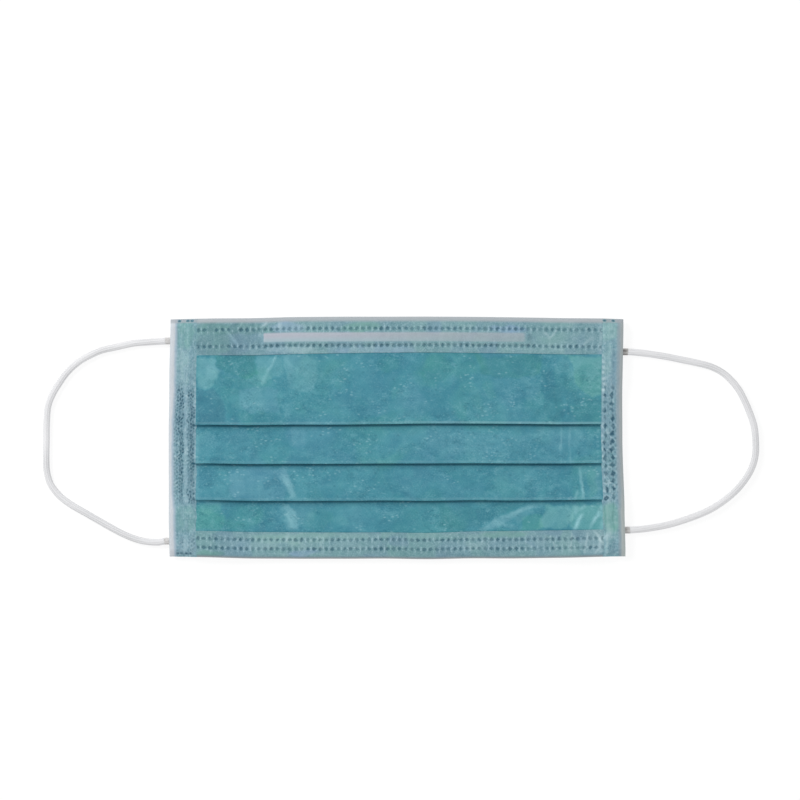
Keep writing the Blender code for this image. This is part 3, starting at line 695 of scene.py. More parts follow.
def make_lining(material):
    """The white ply that lies on the surface. It is the outer ply's pleating turned over. Returns
    it with its flat size."""
    turned = [-(fold + PLEAT_DEPTH) for fold in reversed(FOLDS)]
    profile = pleated_profile(turned, 2 * PANEL_STEP)[::-1]
    profile = profile * (-1, -1, 1) + (0, OUTER_TOP + LINING_GAP, 0)
    length = path_length(profile)
    x, y, z, _ = laid_out(profile, ply_columns(2 * PANEL_STEP))
    z = z + 0.3 * np.abs(undulation(x, y))
    values = {"pattern": join(x, -length[:, None], y)}
    piece = grid_object("lining", settle(x, y, z, 0.0001 + 0.6 * z), material, values)
    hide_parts("pleated_panel")
    return piece, (x[0, -1] - x[0, 0], length[-1])


def strip_profile(width, front, ply, step):
    """The surface of a strip folded over an edge, as (distance from the edge, z, side) points.
    side is 0 on the front, 1 on the back and between them round the edge."""
    lip = ply / 2
    wrap = (front - BACK_FACE) / 2
    middle = (front + BACK_FACE) / 2
    turn_u, turn_v = arc(0.0, 0.0, 1.0, 90, 180, 12)
    lip_u, lip_v = arc(0.0, 0.0, lip, -90, 180, 4)
    rows = (
        join((width - STRIP_LIP, width - lip), front - ply, 0.0),
        join(width - lip + lip_u, front - lip + lip_v, 0.0),
        join(spread(width - lip, wrap, step)[1:], front, 0.0),
        join(wrap + wrap * turn_u, middle + wrap * turn_v, np.linspace(0.0, 1.0, len(turn_u))),
        join(spread(wrap, width - lip, 2 * step)[1:], BACK_FACE, 1.0),
        join(width - lip + lip_u, BACK_FACE + lip + lip_v, 1.0),
        join([width - STRIP_LIP], BACK_FACE + ply, 1.0),
    )
    return np.concatenate(rows)


def on_front(back):
    """1 on the front of a folded strip and 0 on its back, from its side value."""
    return 1 - ease(back, 0.0, 0.2)


def dot_unevenness(x, distance, hem):
    """How strongly each weld dot of a hem is pressed: 0 where the row has a gap."""
    strength = 0.95 + 0.35 * roughen(x, distance, 0.0030, 33) + 0.20 * roughen(x, distance, 0.012, 34)
    if hem["side"] > 0:
        first = 1 - ease(np.abs(distance - hem["rows"][0]), 0.002, 0.003)
        for low, high in DOT_GAPS:
            inside = ease(x * 1000, low, low + 0.8) * (1 - ease(x * 1000, high - 0.8, high))
            strength = strength * (1 - 0.9 * inside * first)
    return np.clip(strength, 0.0, 1.2)


def dot_strength(x, distance, rows):
    """1 at the middle of each weld dot of a hem and 0 outside them all."""
    off = np.abs(np.mod(x / DOT_PITCH, 1.0) - 0.5) * DOT_PITCH
    away = np.min([np.abs(distance - row) for row in rows], axis=0)
    far = 0.5 * np.hypot(off, away) + 0.35 * (off + away)
    return 1 - ease(far, 0.30 * DOT_RADIUS, 1.05 * DOT_RADIUS)


def wire_rise(x, distance, wire_box):
    """How far the nose hem is raised by the wire under it."""
    low, high = wire_box
    over = ease(x, low.x - 0.0016, low.x) * (1 - ease(x, high.x, high.x + 0.0016))
    middle = HALF_HEIGHT - (low.y + high.y) / 2 + EDGE_CROWN * 0.8
    half = (high.y - low.y) / 2
    return WIRE_BUMP * over * (1 - ease(np.abs(distance - middle), half - 0.0006, half + 0.0005))


def make_hem(name, hem, material, wire_box=None):
    """A hem: the lining's edge turned onto the front, dimpled by two rows of weld dots."""
    side, depth, rows = hem["side"], hem["depth"], hem["rows"]
    profile = strip_profile(depth, HEM_FRONT, HEM_PLY, HEM_STEP)
    columns = spread(-WELD_LINES[-1] - HEM_TUCK, WELD_LINES[1] + HEM_TUCK, HEM_STEP)
    x, distance, z, back = laid_out(profile, columns)
    front = on_front(back)
    top = ease(z, HEM_FRONT - HEM_PLY, HEM_FRONT) * front
    distance = distance + (hem_depth(hem, x) - depth) * ease(distance, rows[1], depth - 0.0005)
    inner = 1 - ease(distance, depth - 0.0022, depth - 0.0002)
    y = side * (HALF_HEIGHT - distance)
    height, light, green = marks_of(x, y, HEM_CREASES, HEM_PATCHES, 0.6)
    fine = 0.00007 * roughen(x, distance * 2, 0.006, 31) + 0.00005 * roughen(x, distance, 0.0015, 32)
    z = z + front * (undulation(x, y) + inner * (fine + np.maximum(height, -0.00005)))
    if wire_box:
        z = z + front * wire_rise(x, distance, wire_box)
    strength = dot_unevenness(x, distance, hem)
    z = z - top * DOT_DEPTH * strength * dot_strength(x, distance, rows)
    # Facets of crumpled cloth give painted light and shade, and a shift of hue
    tone, lines = facets(x, y, 0.0060, 101 + side)
    fine, _ = facets(x, y, 0.0021, 105 + side)
    light = light + 0.060 * tone + 0.050 * fine + 0.04 * lines
    values = {
        "pattern": join(x, distance, back),
        "tint_and_shade": join(light, green + 0.25 * tone, strength),
    }
    welded = 0.87 * z - 0.0004 * under(x) * front
    piece = grid_object(name + "_cloth", settle(x, y, z, welded), material, values)
    if side < 0:
        piece.data.flip_normals()
    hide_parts(name)
    return piece


def mark_strength(side, distance, y):
    """How dark the weld marks of a side binding are at each point, and where they lie dense."""
    pitch = MARK_PITCH[side]
    drift_y = y + 0.00055 * roughen(distance, y, 0.0024, 51) + 0.00034 * roughen(distance, y, 0.0010, 52)
    drift = distance + 0.00040 * roughen(distance, y, 0.0020, 53)
    drift = drift + 0.00030 * roughen(distance, y, 0.0009, 54)
    result = np.zeros_like(distance)
    for inward, shift, half_in, half_up, dark in MARKS[side]:
        off = (np.mod(drift_y / pitch + shift, 1.0) - 0.5) * pitch
        far = np.abs(drift - inward) / half_in + np.abs(off) / half_up
        result = np.maximum(result, dark * (1 - ease(far, 0.55, 1.25)))
    dense = ease(y, *DENSE_FROM) * (1 - ease(y, *DENSE_TO))
    if side < 0:
        dense = dense * (0.75 + 0.25 * ease(y, 0.0030, 0.0060)) + 0.10
        dense = dense + 0.45 * (1 - ease(y, -0.0400, -0.0360))
    else:
        dense = dense + 0.12 * (1 - dense) * ease(y, -0.02, 0.0)
    uneven = 0.95 + 0.45 * roughen(distance, y, 0.0014, 55) + 0.35 * roughen(distance, y, 0.0050, 56)
    return np.clip(result * dense * uneven, 0.0, 1.1), dense


def end_marks(side, distance, y):
    """Small dark weld marks along the ends of a side binding."""
    result = np.zeros_like(distance)
    for end, places in END_MARKS[side].items():
        off = y - end * (HALF_HEIGHT - (0.0008 if end > 0 else 0.0014))
        for place in places:
            far = np.hypot((distance - place) / 0.0008, off / 0.00050)
            result = np.maximum(result, 1 - ease(far, 0.4, 1.3))
    return result


def make_binding(name, side, material):
    """A strip folded round one side edge and welded through all the plies."""
    width = BINDING_WIDTH[side]
    profile = strip_profile(width, BINDING_FRONT, BINDING_PLY, BINDING_STEP)
    inside = spread(HALF_HEIGHT - END_STEP, END_STEP - HALF_HEIGHT, BINDING_STEP)
    heights = np.concatenate([[HALF_HEIGHT], inside, [-HALF_HEIGHT]])
    y, distance, z, back = laid_out(profile, heights)
    ragged = 0.00030 * roughen(y, y * 0.0 + 0.03, 0.0016, 57 + side)
    distance = distance + ragged * ease(distance, width - 0.0016, width - 0.0002)
    x = side * (HALF_WIDTH - distance)
    front = on_front(back)
    top = ease(z, BINDING_FRONT - BINDING_PLY, BINDING_FRONT) * front
    inner = 1 - ease(distance, width - 0.0012, width - 0.0002)
    marks, dense = mark_strength(side, distance, y)
    z = z - front * 0.00030 * ease(distance, width - 0.0017, width + 0.0003)
    z = z - top * inner * 0.00012 * marks
    fine = 0.00006 * roughen(distance, y, 0.0012, 41 + side)
    z = z + front * inner * (fine + 0.00008 * roughen(distance * 2, y, 0.005, 43 + side))
    near_end = np.clip(1 - (HALF_HEIGHT - np.abs(y)) / BINDING_END, 0.0, 1.0)
    middle = (BINDING_FRONT + BACK_FACE) / 2
    z = middle + (z - middle) * np.sqrt(1 - near_end * near_end)
    _, light, green = marks_of(x, y, BINDING_CREASES, BINDING_PATCHES, 0.35)
    # Facets of crumpled cloth give painted light and shade; the specks and the net below are the cloth's
    # own
    tone, _ = facets(x, y * 0.5, 0.0018, 111 + side)
    specks = np.clip(roughen(x, y, 0.0008, 113) + 0.4 * roughen(x, y, 0.003, 114) - 0.20, 0.0, 1.0)
    net = np.clip(dense, 0.0, 1.0) * (1 - marks) * (0.6 + 0.4 * roughen(x, y, 0.0010, 115))
    light = light + 0.05 * tone + 0.40 * specks * (0.5 + 0.5 * dense) + 0.15 * net
    dark = np.maximum(marks, end_marks(side, distance, y))
    values = {
        "pattern": join(y, distance, back),
        "tint_and_shade": join(light, green + 0.15 * tone - 0.4 * net, dark),
    }
    piece = grid_object(name + "_cloth", settle(x, y, z, z), material, values)
    if side > 0:
        piece.data.flip_normals()
    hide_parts(name)
    return piece


def weld_exit(weld):
    """(x, y) where the round cord leaves a welded end."""
    side, y = weld["side"], weld["up"] * HALF_HEIGHT
    bow = float(side_bow(np.array(y / HALF_HEIGHT), np.array(float(side))))
    return side * (HALF_WIDTH + bow) + side * LOOP_WELD_OVERHANG, y


def smooth_route(points, step):
    """Points about step apart on a smooth curve through a route's own points."""
    padded = [points[0] * 2 - points[1], *points, points[-1] * 2 - points[-2]]
    route = [points[0]]
    for a, b, c, d in zip(padded, padded[1:], padded[2:], padded[3:]):
        count = max(1, round((c - b).length / step))
        for i in range(1, count + 1):
            t = i / count
            even = (a * 2 - b * 5 + c * 4 - d) * (t**2 / 2)
            route.append(b + (c - a) * (t / 2) + even + (b * 3 - a - c * 3 + d) * (t**3 / 2))
    return route


def knit_radius(along, angle, radius):
    """The radius of round knitted elastic: wales along it, each a row of small stitches."""
    wale = np.abs(np.cos(KNIT_WALES * angle / 2))
    turn = np.floor(KNIT_WALES * angle / math.tau + 0.5)
    loop = np.abs(np.sin(math.pi * (along / KNIT_STITCH + 0.5 * np.mod(turn, 2))))
    return radius * (0.93 + 0.055 * wale + 0.035 * loop * wale)


def ring_grid(places):
    """Places along a cord and angles round it, at all points of its surface."""
    angle = np.linspace(0.0, math.tau, CORD_SIDES, endpoint=False)
    return np.meshgrid(places, angle, indexing="ij")


def make_ear_loop(name, side, route, material):
    """The knitted elastic between the two welded ends on one side, lying on the surface."""
    nose, chin = [weld_exit(weld) for weld in LOOP_WELDS if weld["side"] == side]
    stations = [nose, *((side * (HALF_WIDTH + out), up) for out, up in route), chin]
    points = [Vector((x, y, CORD_DIAMETER / 2)) for x, y in stations]
    line = smooth_route(points, CORD_STEP)
    centre = np.array([tuple(p) for p in line])
    run = np.gradient(centre, axis=0)
    run /= np.linalg.norm(run, axis=1, keepdims=True)
    along = np.concatenate([[0.0], np.cumsum(np.linalg.norm(np.diff(centre, axis=0), axis=1))])
    across = join(-run[:, 1], run[:, 0], 0.0)
    s, a = ring_grid(along)
    twisted = a + 0.35 * np.sin(s / 0.021) + s / KNIT_TURN
    radius = knit_radius(s, twisted, CORD_DIAMETER / 2)
    radius = radius * (1 + 0.03 * roughen(s, a * 0.0, 0.009, 61 + side))
    outward = np.cos(a)[..., None] * across[:, None] + np.sin(a)[..., None] * np.array([0.0, 0.0, 1.0])
    rings = centre[:, None] + radius[..., None] * outward
    rings[..., 2] = np.maximum(rings[..., 2], LEAST_HEIGHT)
    values = {"knit": join(s, twisted, radius / (CORD_DIAMETER / 2))}
    loop = tube_object(name + "_knit", rings, material, values)
    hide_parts(name)
    [tuple(p) for p in line[::12]] + [tuple(line[-1])]


def make_loop_weld(weld, material):
    """The end of an ear loop: crimped flat under the binding, and round where it comes out."""
    side = weld["side"]
    x, y = weld_exit(weld)
    o, a = ring_grid(np.linspace(-LOOP_WELD_LENGTH, LOOP_WELD_OVERHANG, 90))
    rounded = ease(o, -0.0026, 0.0003)
    # Painted shadow where the end comes out from under the mask's edge
    exit_shadow = weld["exit_shadow"] * ease(o, -0.0010, 0.0) * (1 - 0.45 * ease(o, 0.0010, 0.0021))
    width = LOOP_WELD_WIDTH + (CORD_DIAMETER - LOOP_WELD_WIDTH) * rounded
    height = LOOP_WELD_THICKNESS + (CORD_DIAMETER - LOOP_WELD_THICKNESS) * rounded
    power = 0.5 + 0.5 * rounded
    c, s = np.cos(a), np.sin(a)
    across = np.sign(c) * np.abs(c) ** power * width / 2
    up = np.sign(s) * np.abs(s) ** power * height / 2 * 0.98
    crimp = (1 - rounded) * CRIMP_DEPTH * (1 + np.cos(math.tau * o / CRIMP_PITCH))
    up = up - np.sign(s) * crimp * np.abs(s)
    ribs = 1 + 0.03 * rounded * np.cos(KNIT_WALES * a)
    start = x - side * LOOP_WELD_OVERHANG
    rings = join(start + side * o, y + across * ribs, height / 2 + up * ribs)
    knit = join(o, a, exit_shadow)
    if side < 0:
        rings, knit = rings[:, ::-1], knit[:, ::-1]
    piece = tube_object(weld["name"] + "_crimp", rings, material, {"knit": knit})
    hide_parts(weld["name"])


def srgb(red, green, blue):
    """A colour from its screen values, 0 to 255."""
    screen = np.array([red, green, blue]) / 255
    linear = np.where(screen <= 0.04045, screen / 12.92, ((screen + 0.055) / 1.055) ** 2.4)
    return (*linear.tolist(), 1.0)


class Value:
    """What a node gives out. Sums on it add more nodes."""

    def __init__(self, paint, socket):
        self.paint = paint
        self.socket = socket

    def __add__(self, other):
        return self.paint.maths("ADD", self, other)

    def __sub__(self, other):
        return self.paint.maths("SUBTRACT", self, other)

    def __rsub__(self, other):
        return self.paint.maths("SUBTRACT", other, self)

    def __mul__(self, other):
        return self.paint.maths("MULTIPLY", self, other)

    def __abs__(self):
        return self.paint.maths("ABSOLUTE", self)

    def through(self, pitch):
        """How far it is through each pitch, from 0 to 1."""
        return self.paint.maths("FRACT", self.paint.maths("DIVIDE", self, pitch))


class Paint:
    """The nodes of one material. Each method adds a node and gives back its main output."""

    def __init__(self, name, roughness):
        self.material = bpy.data.materials.new(name)
        self.material.use_nodes = True
        self.nodes = self.material.node_tree.nodes
        self.links = self.material.node_tree.links
        self.shader = self.nodes["Principled BSDF"]
        self.shader.inputs["Roughness"].default_value = roughness
        self.shader.inputs["Specular IOR Level"].default_value = CLOTH_SHINE

    def feed(self, socket, value):
        """Links a socket to another one, or sets its number."""
        if isinstance(value, Value):
            self.links.new(value.socket, socket)
        else:
            socket.default_value = value

    def outputs(self, kind, inputs, **settings):
        """Adds a node with its settings, feeds its inputs and gives back its outputs."""
        node = self.nodes.new(kind)
        for key, value in settings.items():
            setattr(node, key, value)
        for key, value in inputs.items():
            self.feed(node.inputs[key], value)
        return node.outputs

    def add(self, kind, inputs, output=0, **settings):
        """The same, but gives back one output as a value."""
        return Value(self, self.outputs(kind, inputs, **settings)[output])

    def attribute(self, name):
        """The three numbers that a mesh has under a name at each point."""
        return self.add("ShaderNodeAttribute", {}, "Vector", attribute_name=name)

    def place(self):
        """Where a point of the object is."""
        return self.add("ShaderNodeTexCoord", {}, "Object")

    def split(self, vector):
        """The three numbers of a vector."""
        return [Value(self, part) for part in self.outputs("ShaderNodeSeparateXYZ", {0: vector})]

    def maths(self, operation, *values):
        """A sum on numbers."""
        return self.add("ShaderNodeMath", dict(enumerate(values)), operation=operation)

    def step(self, value, start, end, low=0.0, high=1.0):
        """low before start, high after end, and a smooth step between them."""
        inputs = {"Value": value, "From Min": start, "From Max": end, "To Min": low, "To Max": high}
        return self.add("ShaderNodeMapRange", inputs, "Result", interpolation_type="SMOOTHSTEP")

    def scaled(self, vector, *scale):
        """A vector times three numbers."""
        return self.add("ShaderNodeVectorMath", {0: vector, 1: scale}, "Vector", operation="MULTIPLY")

    def turned(self, vector, angle):
        """A vector turned about Z by an angle in degrees."""
        inputs = {"Vector": vector, "Axis": (0.0, 0.0, 1.0), "Angle": math.radians(angle)}
        return self.add("ShaderNodeVectorRotate", inputs, rotation_type="AXIS_ANGLE")

    def noise(self, vector, scale, detail=2.0, roughness=0.5, distortion=0.0):
        """Cloudy values from 0 to 1."""
        inputs = {"Vector": vector, "Scale": scale, "Detail": detail}
        inputs |= {"Roughness": roughness, "Distortion": distortion}
        return self.add("ShaderNodeTexNoise", inputs)

    def cells(self, vector, scale):
        """Distance to the nearest of scattered points."""
        return self.add("ShaderNodeTexVoronoi", {"Vector": vector, "Scale": scale}, "Distance")

    def mix(self, share, first, second):
        """Two colours mixed, first where share is 0. A tuple is a colour's screen values."""
        pair = [srgb(*colour) if isinstance(colour, tuple) else colour for colour in (first, second)]
        return self.add("ShaderNodeMix", {0: share, 6: pair[0], 7: pair[1]}, 2, data_type="RGBA")

    def coats(self, colour, *layers):
        """A colour with others laid over it in turn, each as strongly as its share says."""
        for share, over in layers:
            colour = self.mix(share, colour, over)
        return colour

    def bump(self, height, depth, strength):
        """A bump from heights of 0 to 1, depth metres high, on the shader."""
        inputs = {"Height": height, "Distance": depth, "Strength": strength}
        self.feed(self.shader.inputs["Normal"], self.add("ShaderNodeBump", inputs, "Normal"))

    def finish(self, colour):
        """Sets the colour and gives back the material."""
        self.feed(self.shader.inputs["Base Color"], colour)
        return self.material


def fibres(paint, pattern):
    """Fine straight fibres that cross at random: 0 between them and 1 on one."""
    best = 0.0
    for angle in (12.0, 71.0, 128.0):
        turned = paint.turned(pattern, angle)
        streaks = paint.noise(paint.scaled(turned, 260.0, 3400.0, 1.0), 1.0, 2.0, 0.6)
        best = paint.maths("MAXIMUM", best, paint.step(streaks, 0.56, 0.74))
    return best


def flecks(paint, pattern, stretch, scale, turns=(0.0, 0.0)):
    """Small scattered specks, in some places only."""
    specks, places = [paint.turned(pattern, turn) for turn in turns]
    near = paint.cells(paint.scaled(specks, 1.0, stretch, 1.0), scale)
    return paint.step(near, 0.42, 0.12) * paint.step(paint.noise(places, 130.0), 0.54, 0.66)


def tinted(paint, colour, light, green, greener, bluer, paler):
    """A colour made paler or darker, and greener or bluer, by two values about 0. The paleness
    carries painted light and shade as well as the cloth's own tone.
    """
    layers = ((green * 1.0, greener), (green * -1.0, bluer), (light * 1.0, paler), (light * -1.3, DARK_TONE_AND_SHADE))
    return paint.coats(colour, *((paint.maths("MAXIMUM", share, 0.0), over) for share, over in layers))


def fold_shadows_and_highlights(paint, colour, x, y, below):
    """Paints shadow on the cloth just below the folds and the nose hem, and a highlight just above the
    folds.
    """
    # A painted highlight just above each fold, stronger towards the right
    for fold, left, right in zip(FOLDS, (0.09, 0.05, 0.05), (0.20, 0.09, 0.07)):
        above = y - paint.step(x, -0.040, 0.030, fold, fold + 0.4 * FOLD_TILT)
        line = paint.step(above, 0.0002, 0.0005) * paint.step(above, 0.0014, 0.0008)
        colour = paint.mix(line * paint.step(x, -0.02, 0.05, left, right), colour, (190, 222, 228))
    # Painted shadow in dark teal just below each fold, and faintly just below the nose hem
    soft = paint.step(below, 0.0028, 0.0004, 0.0, 0.34)
    hem = paint.step(below - BELOW_HEM, 0.0016, 0.0001, 0.0, 0.04)
    hem = hem * paint.step(below, BELOW_HEM - 0.002, BELOW_HEM - 0.001)
    deep = paint.step(below, 0.00120, 0.00060, 0.0, 0.62) * paint.step(y, -0.0235, -0.0220, 0.72, 1.0)
    return paint.coats(colour, *((share, (10, 64, 82)) for share in (soft, hem, deep)))


def bond_points(paint, pattern):
    """Small oval points in staggered rows, where the fibres are pressed together."""
    x, y, _ = paint.split(paint.turned(pattern, 45.0))
    return paint.step(abs(x.through(BOND_PITCH) - 0.5) + abs(y.through(BOND_PITCH) - 0.5), 0.42, 0.20)


def outer_cloth():
    """Teal spunbonded nonwoven: mottled, with fine fibres, pale flecks and small bond points, and painted
    light and shade at its folds, creases and facets.
    """
    paint = Paint("teal_nonwoven", 0.8)
    pattern = paint.attribute("pattern")
    x, _, y = paint.split(pattern)
    light, green, below = paint.split(paint.attribute("tint_and_shade"))
    clouds = paint.noise(pattern, 90.0, 4.0, 0.6, 0.6)
    blotches = paint.noise(pattern, 300.0, 3.0, 0.6)
    grain = paint.noise(pattern, 1500.0, 2.0, 0.6)
    rough = paint.step(paint.noise(paint.turned(pattern, 60.0), 75.0), 0.38, 0.62, 0.35, 1.0)
    lines = fibres(paint, pattern)
    bonds = bond_points(paint, pattern)
    colour = paint.mix(paint.step(clouds, 0.35, 0.65), (67, 136, 154), (78, 148, 163))
    colour = tinted(paint, colour, light, green, (80, 156, 150), (84, 141, 166), (166, 218, 226))
    colour = paint.coats(
        colour,
        (paint.step(blotches, 0.50, 0.72, 0.0, 0.29) * rough, (124, 182, 194)),
        (paint.step(blotches, 0.50, 0.28, 0.0, 0.31) * rough, (38, 98, 118)),
        (paint.step(grain, 0.53, 0.76, 0.0, 0.36) * rough, (140, 192, 202)),
        (paint.step(grain, 0.47, 0.25, 0.0, 0.38) * rough, (34, 94, 114)),
        (lines * 0.13, (160, 204, 212)),
        (flecks(paint, pattern, 1.5, 520.0) * 0.34, (160, 206, 214)),
        (flecks(paint, pattern, 1.7, 460.0, (30.0, 90.0)) * 0.28, (30, 88, 108)),
        (bonds * 0.07, (45, 104, 122)),
    )
    paint.bump(lines * 0.3 + blotches + grain * 0.4 - bonds * 0.4, 0.00007, 0.7)
    return paint.finish(fold_shadows_and_highlights(paint, colour, x, y, below))


def lace(paint, pattern, scale):
    """The uneven cover of a thin white ply over a teal one, from 0 to 1."""
    web = paint.noise(pattern, scale, 4.0, 0.65, 0.4)
    fine = paint.noise(pattern, scale * 3.2, 2.0, 0.6)
    return paint.step(web * 0.55 + fine * 0.45, 0.36, 0.64)


def hem_cloth(name, hem):
    """Thin white nonwoven that shows the teal ply below it, with weld dots. White on the back."""
    paint = Paint(name, 0.7)
    pattern = paint.attribute("pattern")
    x, distance, back = paint.split(pattern)
    light, green, pressed = paint.split(paint.attribute("tint_and_shade"))
    flat = paint.scaled(pattern, 1.0, 1.0, 0.0)
    cover = lace(paint, flat, 560.0)
    grain = paint.noise(flat, 1700.0, 2.0, 0.6)
    lines = fibres(paint, flat)
    colour = paint.coats(
        paint.mix(cover, (104, 146, 156), (132, 170, 178)),
        (paint.step(paint.noise(flat, 95.0, 3.0), 0.40, 0.68, 0.0, 0.5), (124, 160, 172)),
        (paint.step(grain, 0.52, 0.72, 0.0, 0.34), (178, 204, 214)),
        (paint.step(grain, 0.48, 0.28, 0.0, 0.34), (76, 120, 136)),
    )
    colour = tinted(paint, colour, light, green, (118, 166, 160), (134, 166, 192), (196, 222, 228))
    bent = (paint.noise(flat, 700.0, 3.0) - 0.5) * 0.0013
    off = abs((x + bent).through(DOT_PITCH) - 0.5)
    place = distance + (paint.noise(paint.turned(flat, 90.0), 700.0, 3.0) - 0.5) * 0.0013
    away = paint.maths("MINIMUM", *(abs(place - row) for row in hem["rows"]))
    between = paint.step(off, 0.30, 0.46) * paint.step(away, 0.0020, 0.0007)
    between = between * paint.step(paint.noise(flat, 900.0), 0.40, 0.62)
    off = off * DOT_PITCH
    radius = paint.maths("SQRT", off * off + away * away) * 0.5 + (off + away) * 0.35
    dots = paint.step(radius, DOT_RADIUS * 1.05, DOT_RADIUS * 0.45)
    dots = dots * (pressed * paint.step(back, 0.1, 0.0))
    colour = paint.coats(colour, (between * 0.48, (172, 204, 214)), (dots * 0.60, (46, 92, 110)))
    if hem is NOSE_HEM:
        left, right = STRIP_ENDS
        sides = paint.step(x, left - 0.0002, left + 0.0003) * paint.step(x, right + 0.0002, right - 0.0016)
        far = abs(distance - STRIP_MIDDLE)
        strip = paint.step(far, STRIP_HALF + 0.0004, STRIP_HALF - 0.0005) * sides
        tone = paint.mix(paint.step(distance, 0.0068, 0.0094), (184, 187, 198), (170, 192, 201))
        tone = paint.mix(paint.step(x, -0.045, 0.045, 0.0, 0.5), tone, (174, 172, 176))
        colour = paint.mix(strip * paint.step(x, left, right, 0.92, 0.50), colour, tone)
        rims = ((0.0024, 0.0009, 1.0, (172, 179, 184)),)
    else:
        rims = ((0.0014, 0.0002, 0.8, (130, 142, 149)), (0.0008, 0.0001, 1.0, (160, 166, 170)))
    # A margin along the mask's edge, where no teal lies under the white ply, with painted light and shade
    # of its rounded fold
    for outer, inner, share, over in rims:
        colour = paint.mix(paint.step(distance, outer, inner) * share, colour, over)
    colour = paint.coats(
        colour,
        (lines * 0.14, (190, 214, 220)),
        (paint.step(back, 0.35, 0.75), (228, 232, 234)),
    )
    paint.bump(cover + lines * 0.6, 0.00006, 0.8)
    return paint.finish(colour)


def binding_cloth(name, side):
    """Thin white nonwoven over teal, welded through in small marks, with a pale outer margin."""
    paint = Paint(name, 0.8)
    pattern = paint.attribute("pattern")
    y, distance, back = paint.split(pattern)
    light, green, marks = paint.split(paint.attribute("tint_and_shade"))
    flat = paint.scaled(pattern, 1.0, 1.0, 0.0)
    cover = lace(paint, paint.scaled(pattern, 0.6, 1.0, 0.0), 620.0)
    grain = paint.noise(paint.scaled(pattern, 0.7, 1.0, 0.0), 1700.0, 2.0, 0.6)
    streaks = paint.noise(paint.scaled(pattern, 90.0, 900.0, 0.0), 1.0, 3.0, 0.6)
    lines = fibres(paint, flat)
    near = BINDING_WIDTH[side] - 0.0006 - (distance - paint.noise(flat, 900.0, 3.0) * 0.0012)
    colour = paint.coats(
        paint.mix(cover, (108, 150, 163), (142, 180, 191)),
        (paint.step(streaks, 0.52, 0.74, 0.0, 0.36), (158, 194, 204)),
        (paint.step(streaks, 0.46, 0.26, 0.0, 0.26), (96, 138, 154)),
        (paint.step(grain, 0.52, 0.72, 0.0, 0.42), (186, 208, 218)),
        (paint.step(grain, 0.48, 0.28, 0.0, 0.42), (78, 124, 142)),
        (paint.step(near, 0.0010, 0.0, 0.0, 0.35), (92, 144, 156)),
    )
    colour = tinted(paint, colour, light, green, (118, 172, 165), (128, 158, 178), (196, 222, 228))
    ripped = paint.step(paint.noise(flat, 1500.0, 3.0, 0.6), 0.30, 0.52, 0.62, 1.0)
    colour = paint.mix(marks * 0.84 * ripped, colour, (44, 86, 106))
    edge = distance + (paint.noise(flat, 240.0) - 0.5) * 0.0008
    if side < 0:
        reach = paint.step(y, 0.004, 0.020, 0.0016, 0.0023) + paint.step(y, -0.021, -0.028, 0.0, 0.0006)
        margin = (
            (paint.step(edge - reach, 0.0011, -0.0003), (168, 187, 202)),
            (paint.step(edge - reach, 0.0001, -0.0008), (202, 208, 214)),
        )
    else:
        # Right margin: the white ply without teal under it, painted grey with the shade on its rounded
        # edge, and paler towards the chin
        margin = (
            (paint.step(edge, 0.0032, 0.0018, 0.0, 0.85), (148, 164, 172)),
            (paint.step(edge, 0.0018, 0.0007), (171, 180, 182)),
            (paint.step(edge, 0.0020, 0.0010) * paint.step(y, -0.020, -0.030), (178, 187, 186)),
        )
    rim = paint.step(y, HALF_HEIGHT - 0.0020, HALF_HEIGHT - 0.0010, 0.0, 0.8)
    colour = paint.coats(
        colour,
        *margin,
        (rim * paint.step(marks, 0.5, 0.1), (166, 172, 178)),
        (lines * 0.12, (200, 218, 226)),
        (paint.step(back, 0.35, 0.75), (226, 230, 233)),
    )
    paint.bump(cover + lines * 0.6, 0.00007, 0.9)
    return paint.finish(colour)


def lining_cloth():
    """Soft white nonwoven for the wearer's side."""
    paint = Paint("white_nonwoven", 0.75)
    pattern = paint.attribute("pattern")
    clouds = paint.noise(pattern, 500.0, 3.0, 0.6)
    lines = fibres(paint, pattern)
    bonds = bond_points(paint, pattern)
    paint.bump(lines * 0.6 - bonds, 0.00007, 0.8)
    white = paint.mix(paint.step(clouds, 0.3, 0.7), (222, 229, 233), (240, 243, 245))
    colour = paint.coats(white, (bonds * 0.25, (200, 212, 219)), (lines * 0.3, (250, 251, 252)))
    return paint.finish(colour)


def elastic_yarn():
    """White knitted elastic, with painted shade in the grooves between its stitches."""
    paint = Paint("white_elastic", 0.75)
    knit = paint.attribute("knit")
    _, _, radius = paint.split(knit)
    fuzz = paint.noise(paint.scaled(knit, 5000.0, 6.0, 0.0), 1.0, 3.0, 0.6)
    # Painted shade where the knit is thinner, in the grooves between the stitches
    colour = paint.mix(paint.step(radius, 0.92, 1.00), (206, 207, 209), (233, 233, 235))
    paint.bump(fuzz, 0.00005, 0.6)
    return paint.finish(paint.mix(paint.step(fuzz, 0.4, 0.7, 0.0, 0.35), colour, (216, 217, 219)))


def fused_yarn():
    """Elastic that was melted flat: greyish, with painted shadow where it comes out from under the mask.
    """
    paint = Paint("fused_elastic", 0.5)
    _, angle, exit_shadow = paint.split(paint.attribute("knit"))
    specks = paint.noise(paint.place(), 1500.0, 3.0, 0.6)
    colour = paint.mix(paint.step(specks, 0.36, 0.66), (206, 204, 203), (226, 225, 224))
    ridge = abs(paint.maths("SINE", angle * 2.5))
    paint.bump(specks, 0.00006, 0.6)
    # Painted shadow, in dark grey-brown, where the end comes out from under the mask
    return paint.finish(paint.mix(exit_shadow * paint.step(ridge, 0.95, 0.25, 0.55, 1.0), colour, (96, 92, 88)))


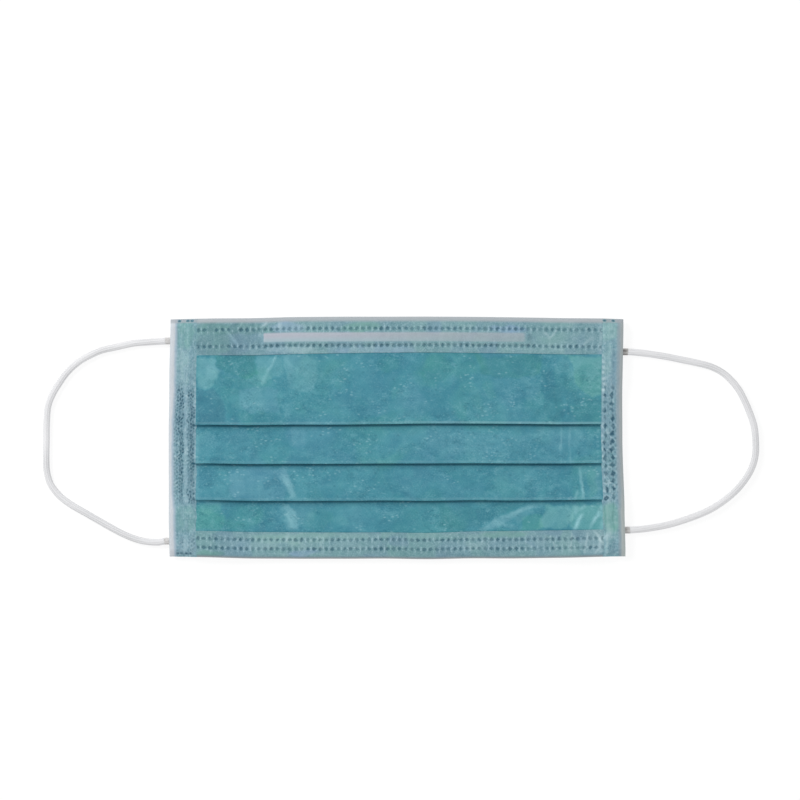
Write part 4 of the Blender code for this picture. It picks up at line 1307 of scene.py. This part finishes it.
def wire_coat():
    """White plastic round the nose wire, faintly streaked along it."""
    paint = Paint("wire_coat", 0.4)
    streaks = paint.noise(paint.scaled(paint.place(), 60.0, 2500.0, 2500.0), 1.0)
    paint.bump(streaks, 0.00004, 0.5)
    return paint.finish(paint.mix(streaks, (222, 221, 224), (236, 235, 238)))


def make_camera():
    """Looks straight down from far above, placed so that the mask lies as in the photograph."""
    data = bpy.data.cameras.new("camera")
    data.sensor_width = 36.0
    data.lens = data.sensor_width * CAMERA_HEIGHT / (PIXEL * PHOTO_PIXELS)
    camera = new_object("camera", data)
    middle = PHOTO_PIXELS / 2
    camera.location = (
        (middle - MASK_MIDDLE_PIXEL[0]) * PIXEL,
        (MASK_MIDDLE_PIXEL[1] - middle) * PIXEL,
        CAMERA_HEIGHT,
    )
    bpy.context.scene.camera = camera


def make_floor():
    """A white table, bright enough to show as plain white."""
    data = bpy.data.meshes.new("table_top")
    signs = ((-1, -1), (1, -1), (1, 1), (-1, 1))
    data.from_pydata([(TABLE_HALF * u, TABLE_HALF * v, 0.0) for u, v in signs], [], [(0, 1, 2, 3)])
    floor = new_object("table_top", data)
    paint = Paint("table_white", 1.0)
    paint.shader.inputs["Specular IOR Level"].default_value = 0.0
    paint.shader.inputs["Emission Color"].default_value = WHITE
    paint.shader.inputs["Emission Strength"].default_value = TABLE_GLOW
    data.materials.append(paint.finish((0.3, 0.3, 0.3, 1.0)))


def make_light():
    """Soft light from the left and behind the nose edge, over an even white surrounding."""
    for name, place, size, power in LAMPS:
        data = bpy.data.lights.new(name, "AREA")
        data.size = size
        data.energy = power
        lamp = new_object(name, data)
        lamp.location = place
        lamp.rotation_euler = (-Vector(place)).to_track_quat("-Z", "Y").to_euler()
    world = bpy.data.worlds.new("studio")
    world.use_nodes = True
    world.node_tree.nodes["Background"].inputs["Color"].default_value = WHITE
    world.node_tree.nodes["Background"].inputs["Strength"].default_value = SKY_GLOW
    bpy.context.scene.world = world
    bpy.context.scene.view_settings.view_transform = "Standard"


make_camera()
elastic = elastic_yarn()
make_ear_loop("ear_loop_left", -1, LEFT_LOOP_ROUTE, elastic)
make_ear_loop("ear_loop_right", 1, RIGHT_LOOP_ROUTE, elastic)

fused = fused_yarn()
for loop_weld in LOOP_WELDS:
    make_loop_weld(loop_weld, fused)

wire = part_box("nose_wire")
wire_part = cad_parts["nose_wire"]
wire_part.data.materials.clear()
wire_part.data.materials.append(wire_coat())

nose_hem = make_hem("nose_hem", NOSE_HEM, hem_cloth("nose_hem_nonwoven", NOSE_HEM), wire)
chin_hem = make_hem("chin_hem", CHIN_HEM, hem_cloth("chin_hem_nonwoven", CHIN_HEM))
left_binding = make_binding("side_binding_left", -1, binding_cloth("left_binding_nonwoven", -1))
right_binding = make_binding("side_binding_right", 1, binding_cloth("right_binding_nonwoven", 1))
outer_ply, outer_flat = make_outer_ply(outer_cloth())
lining, lining_flat = make_lining(lining_cloth())

make_floor()
make_light()
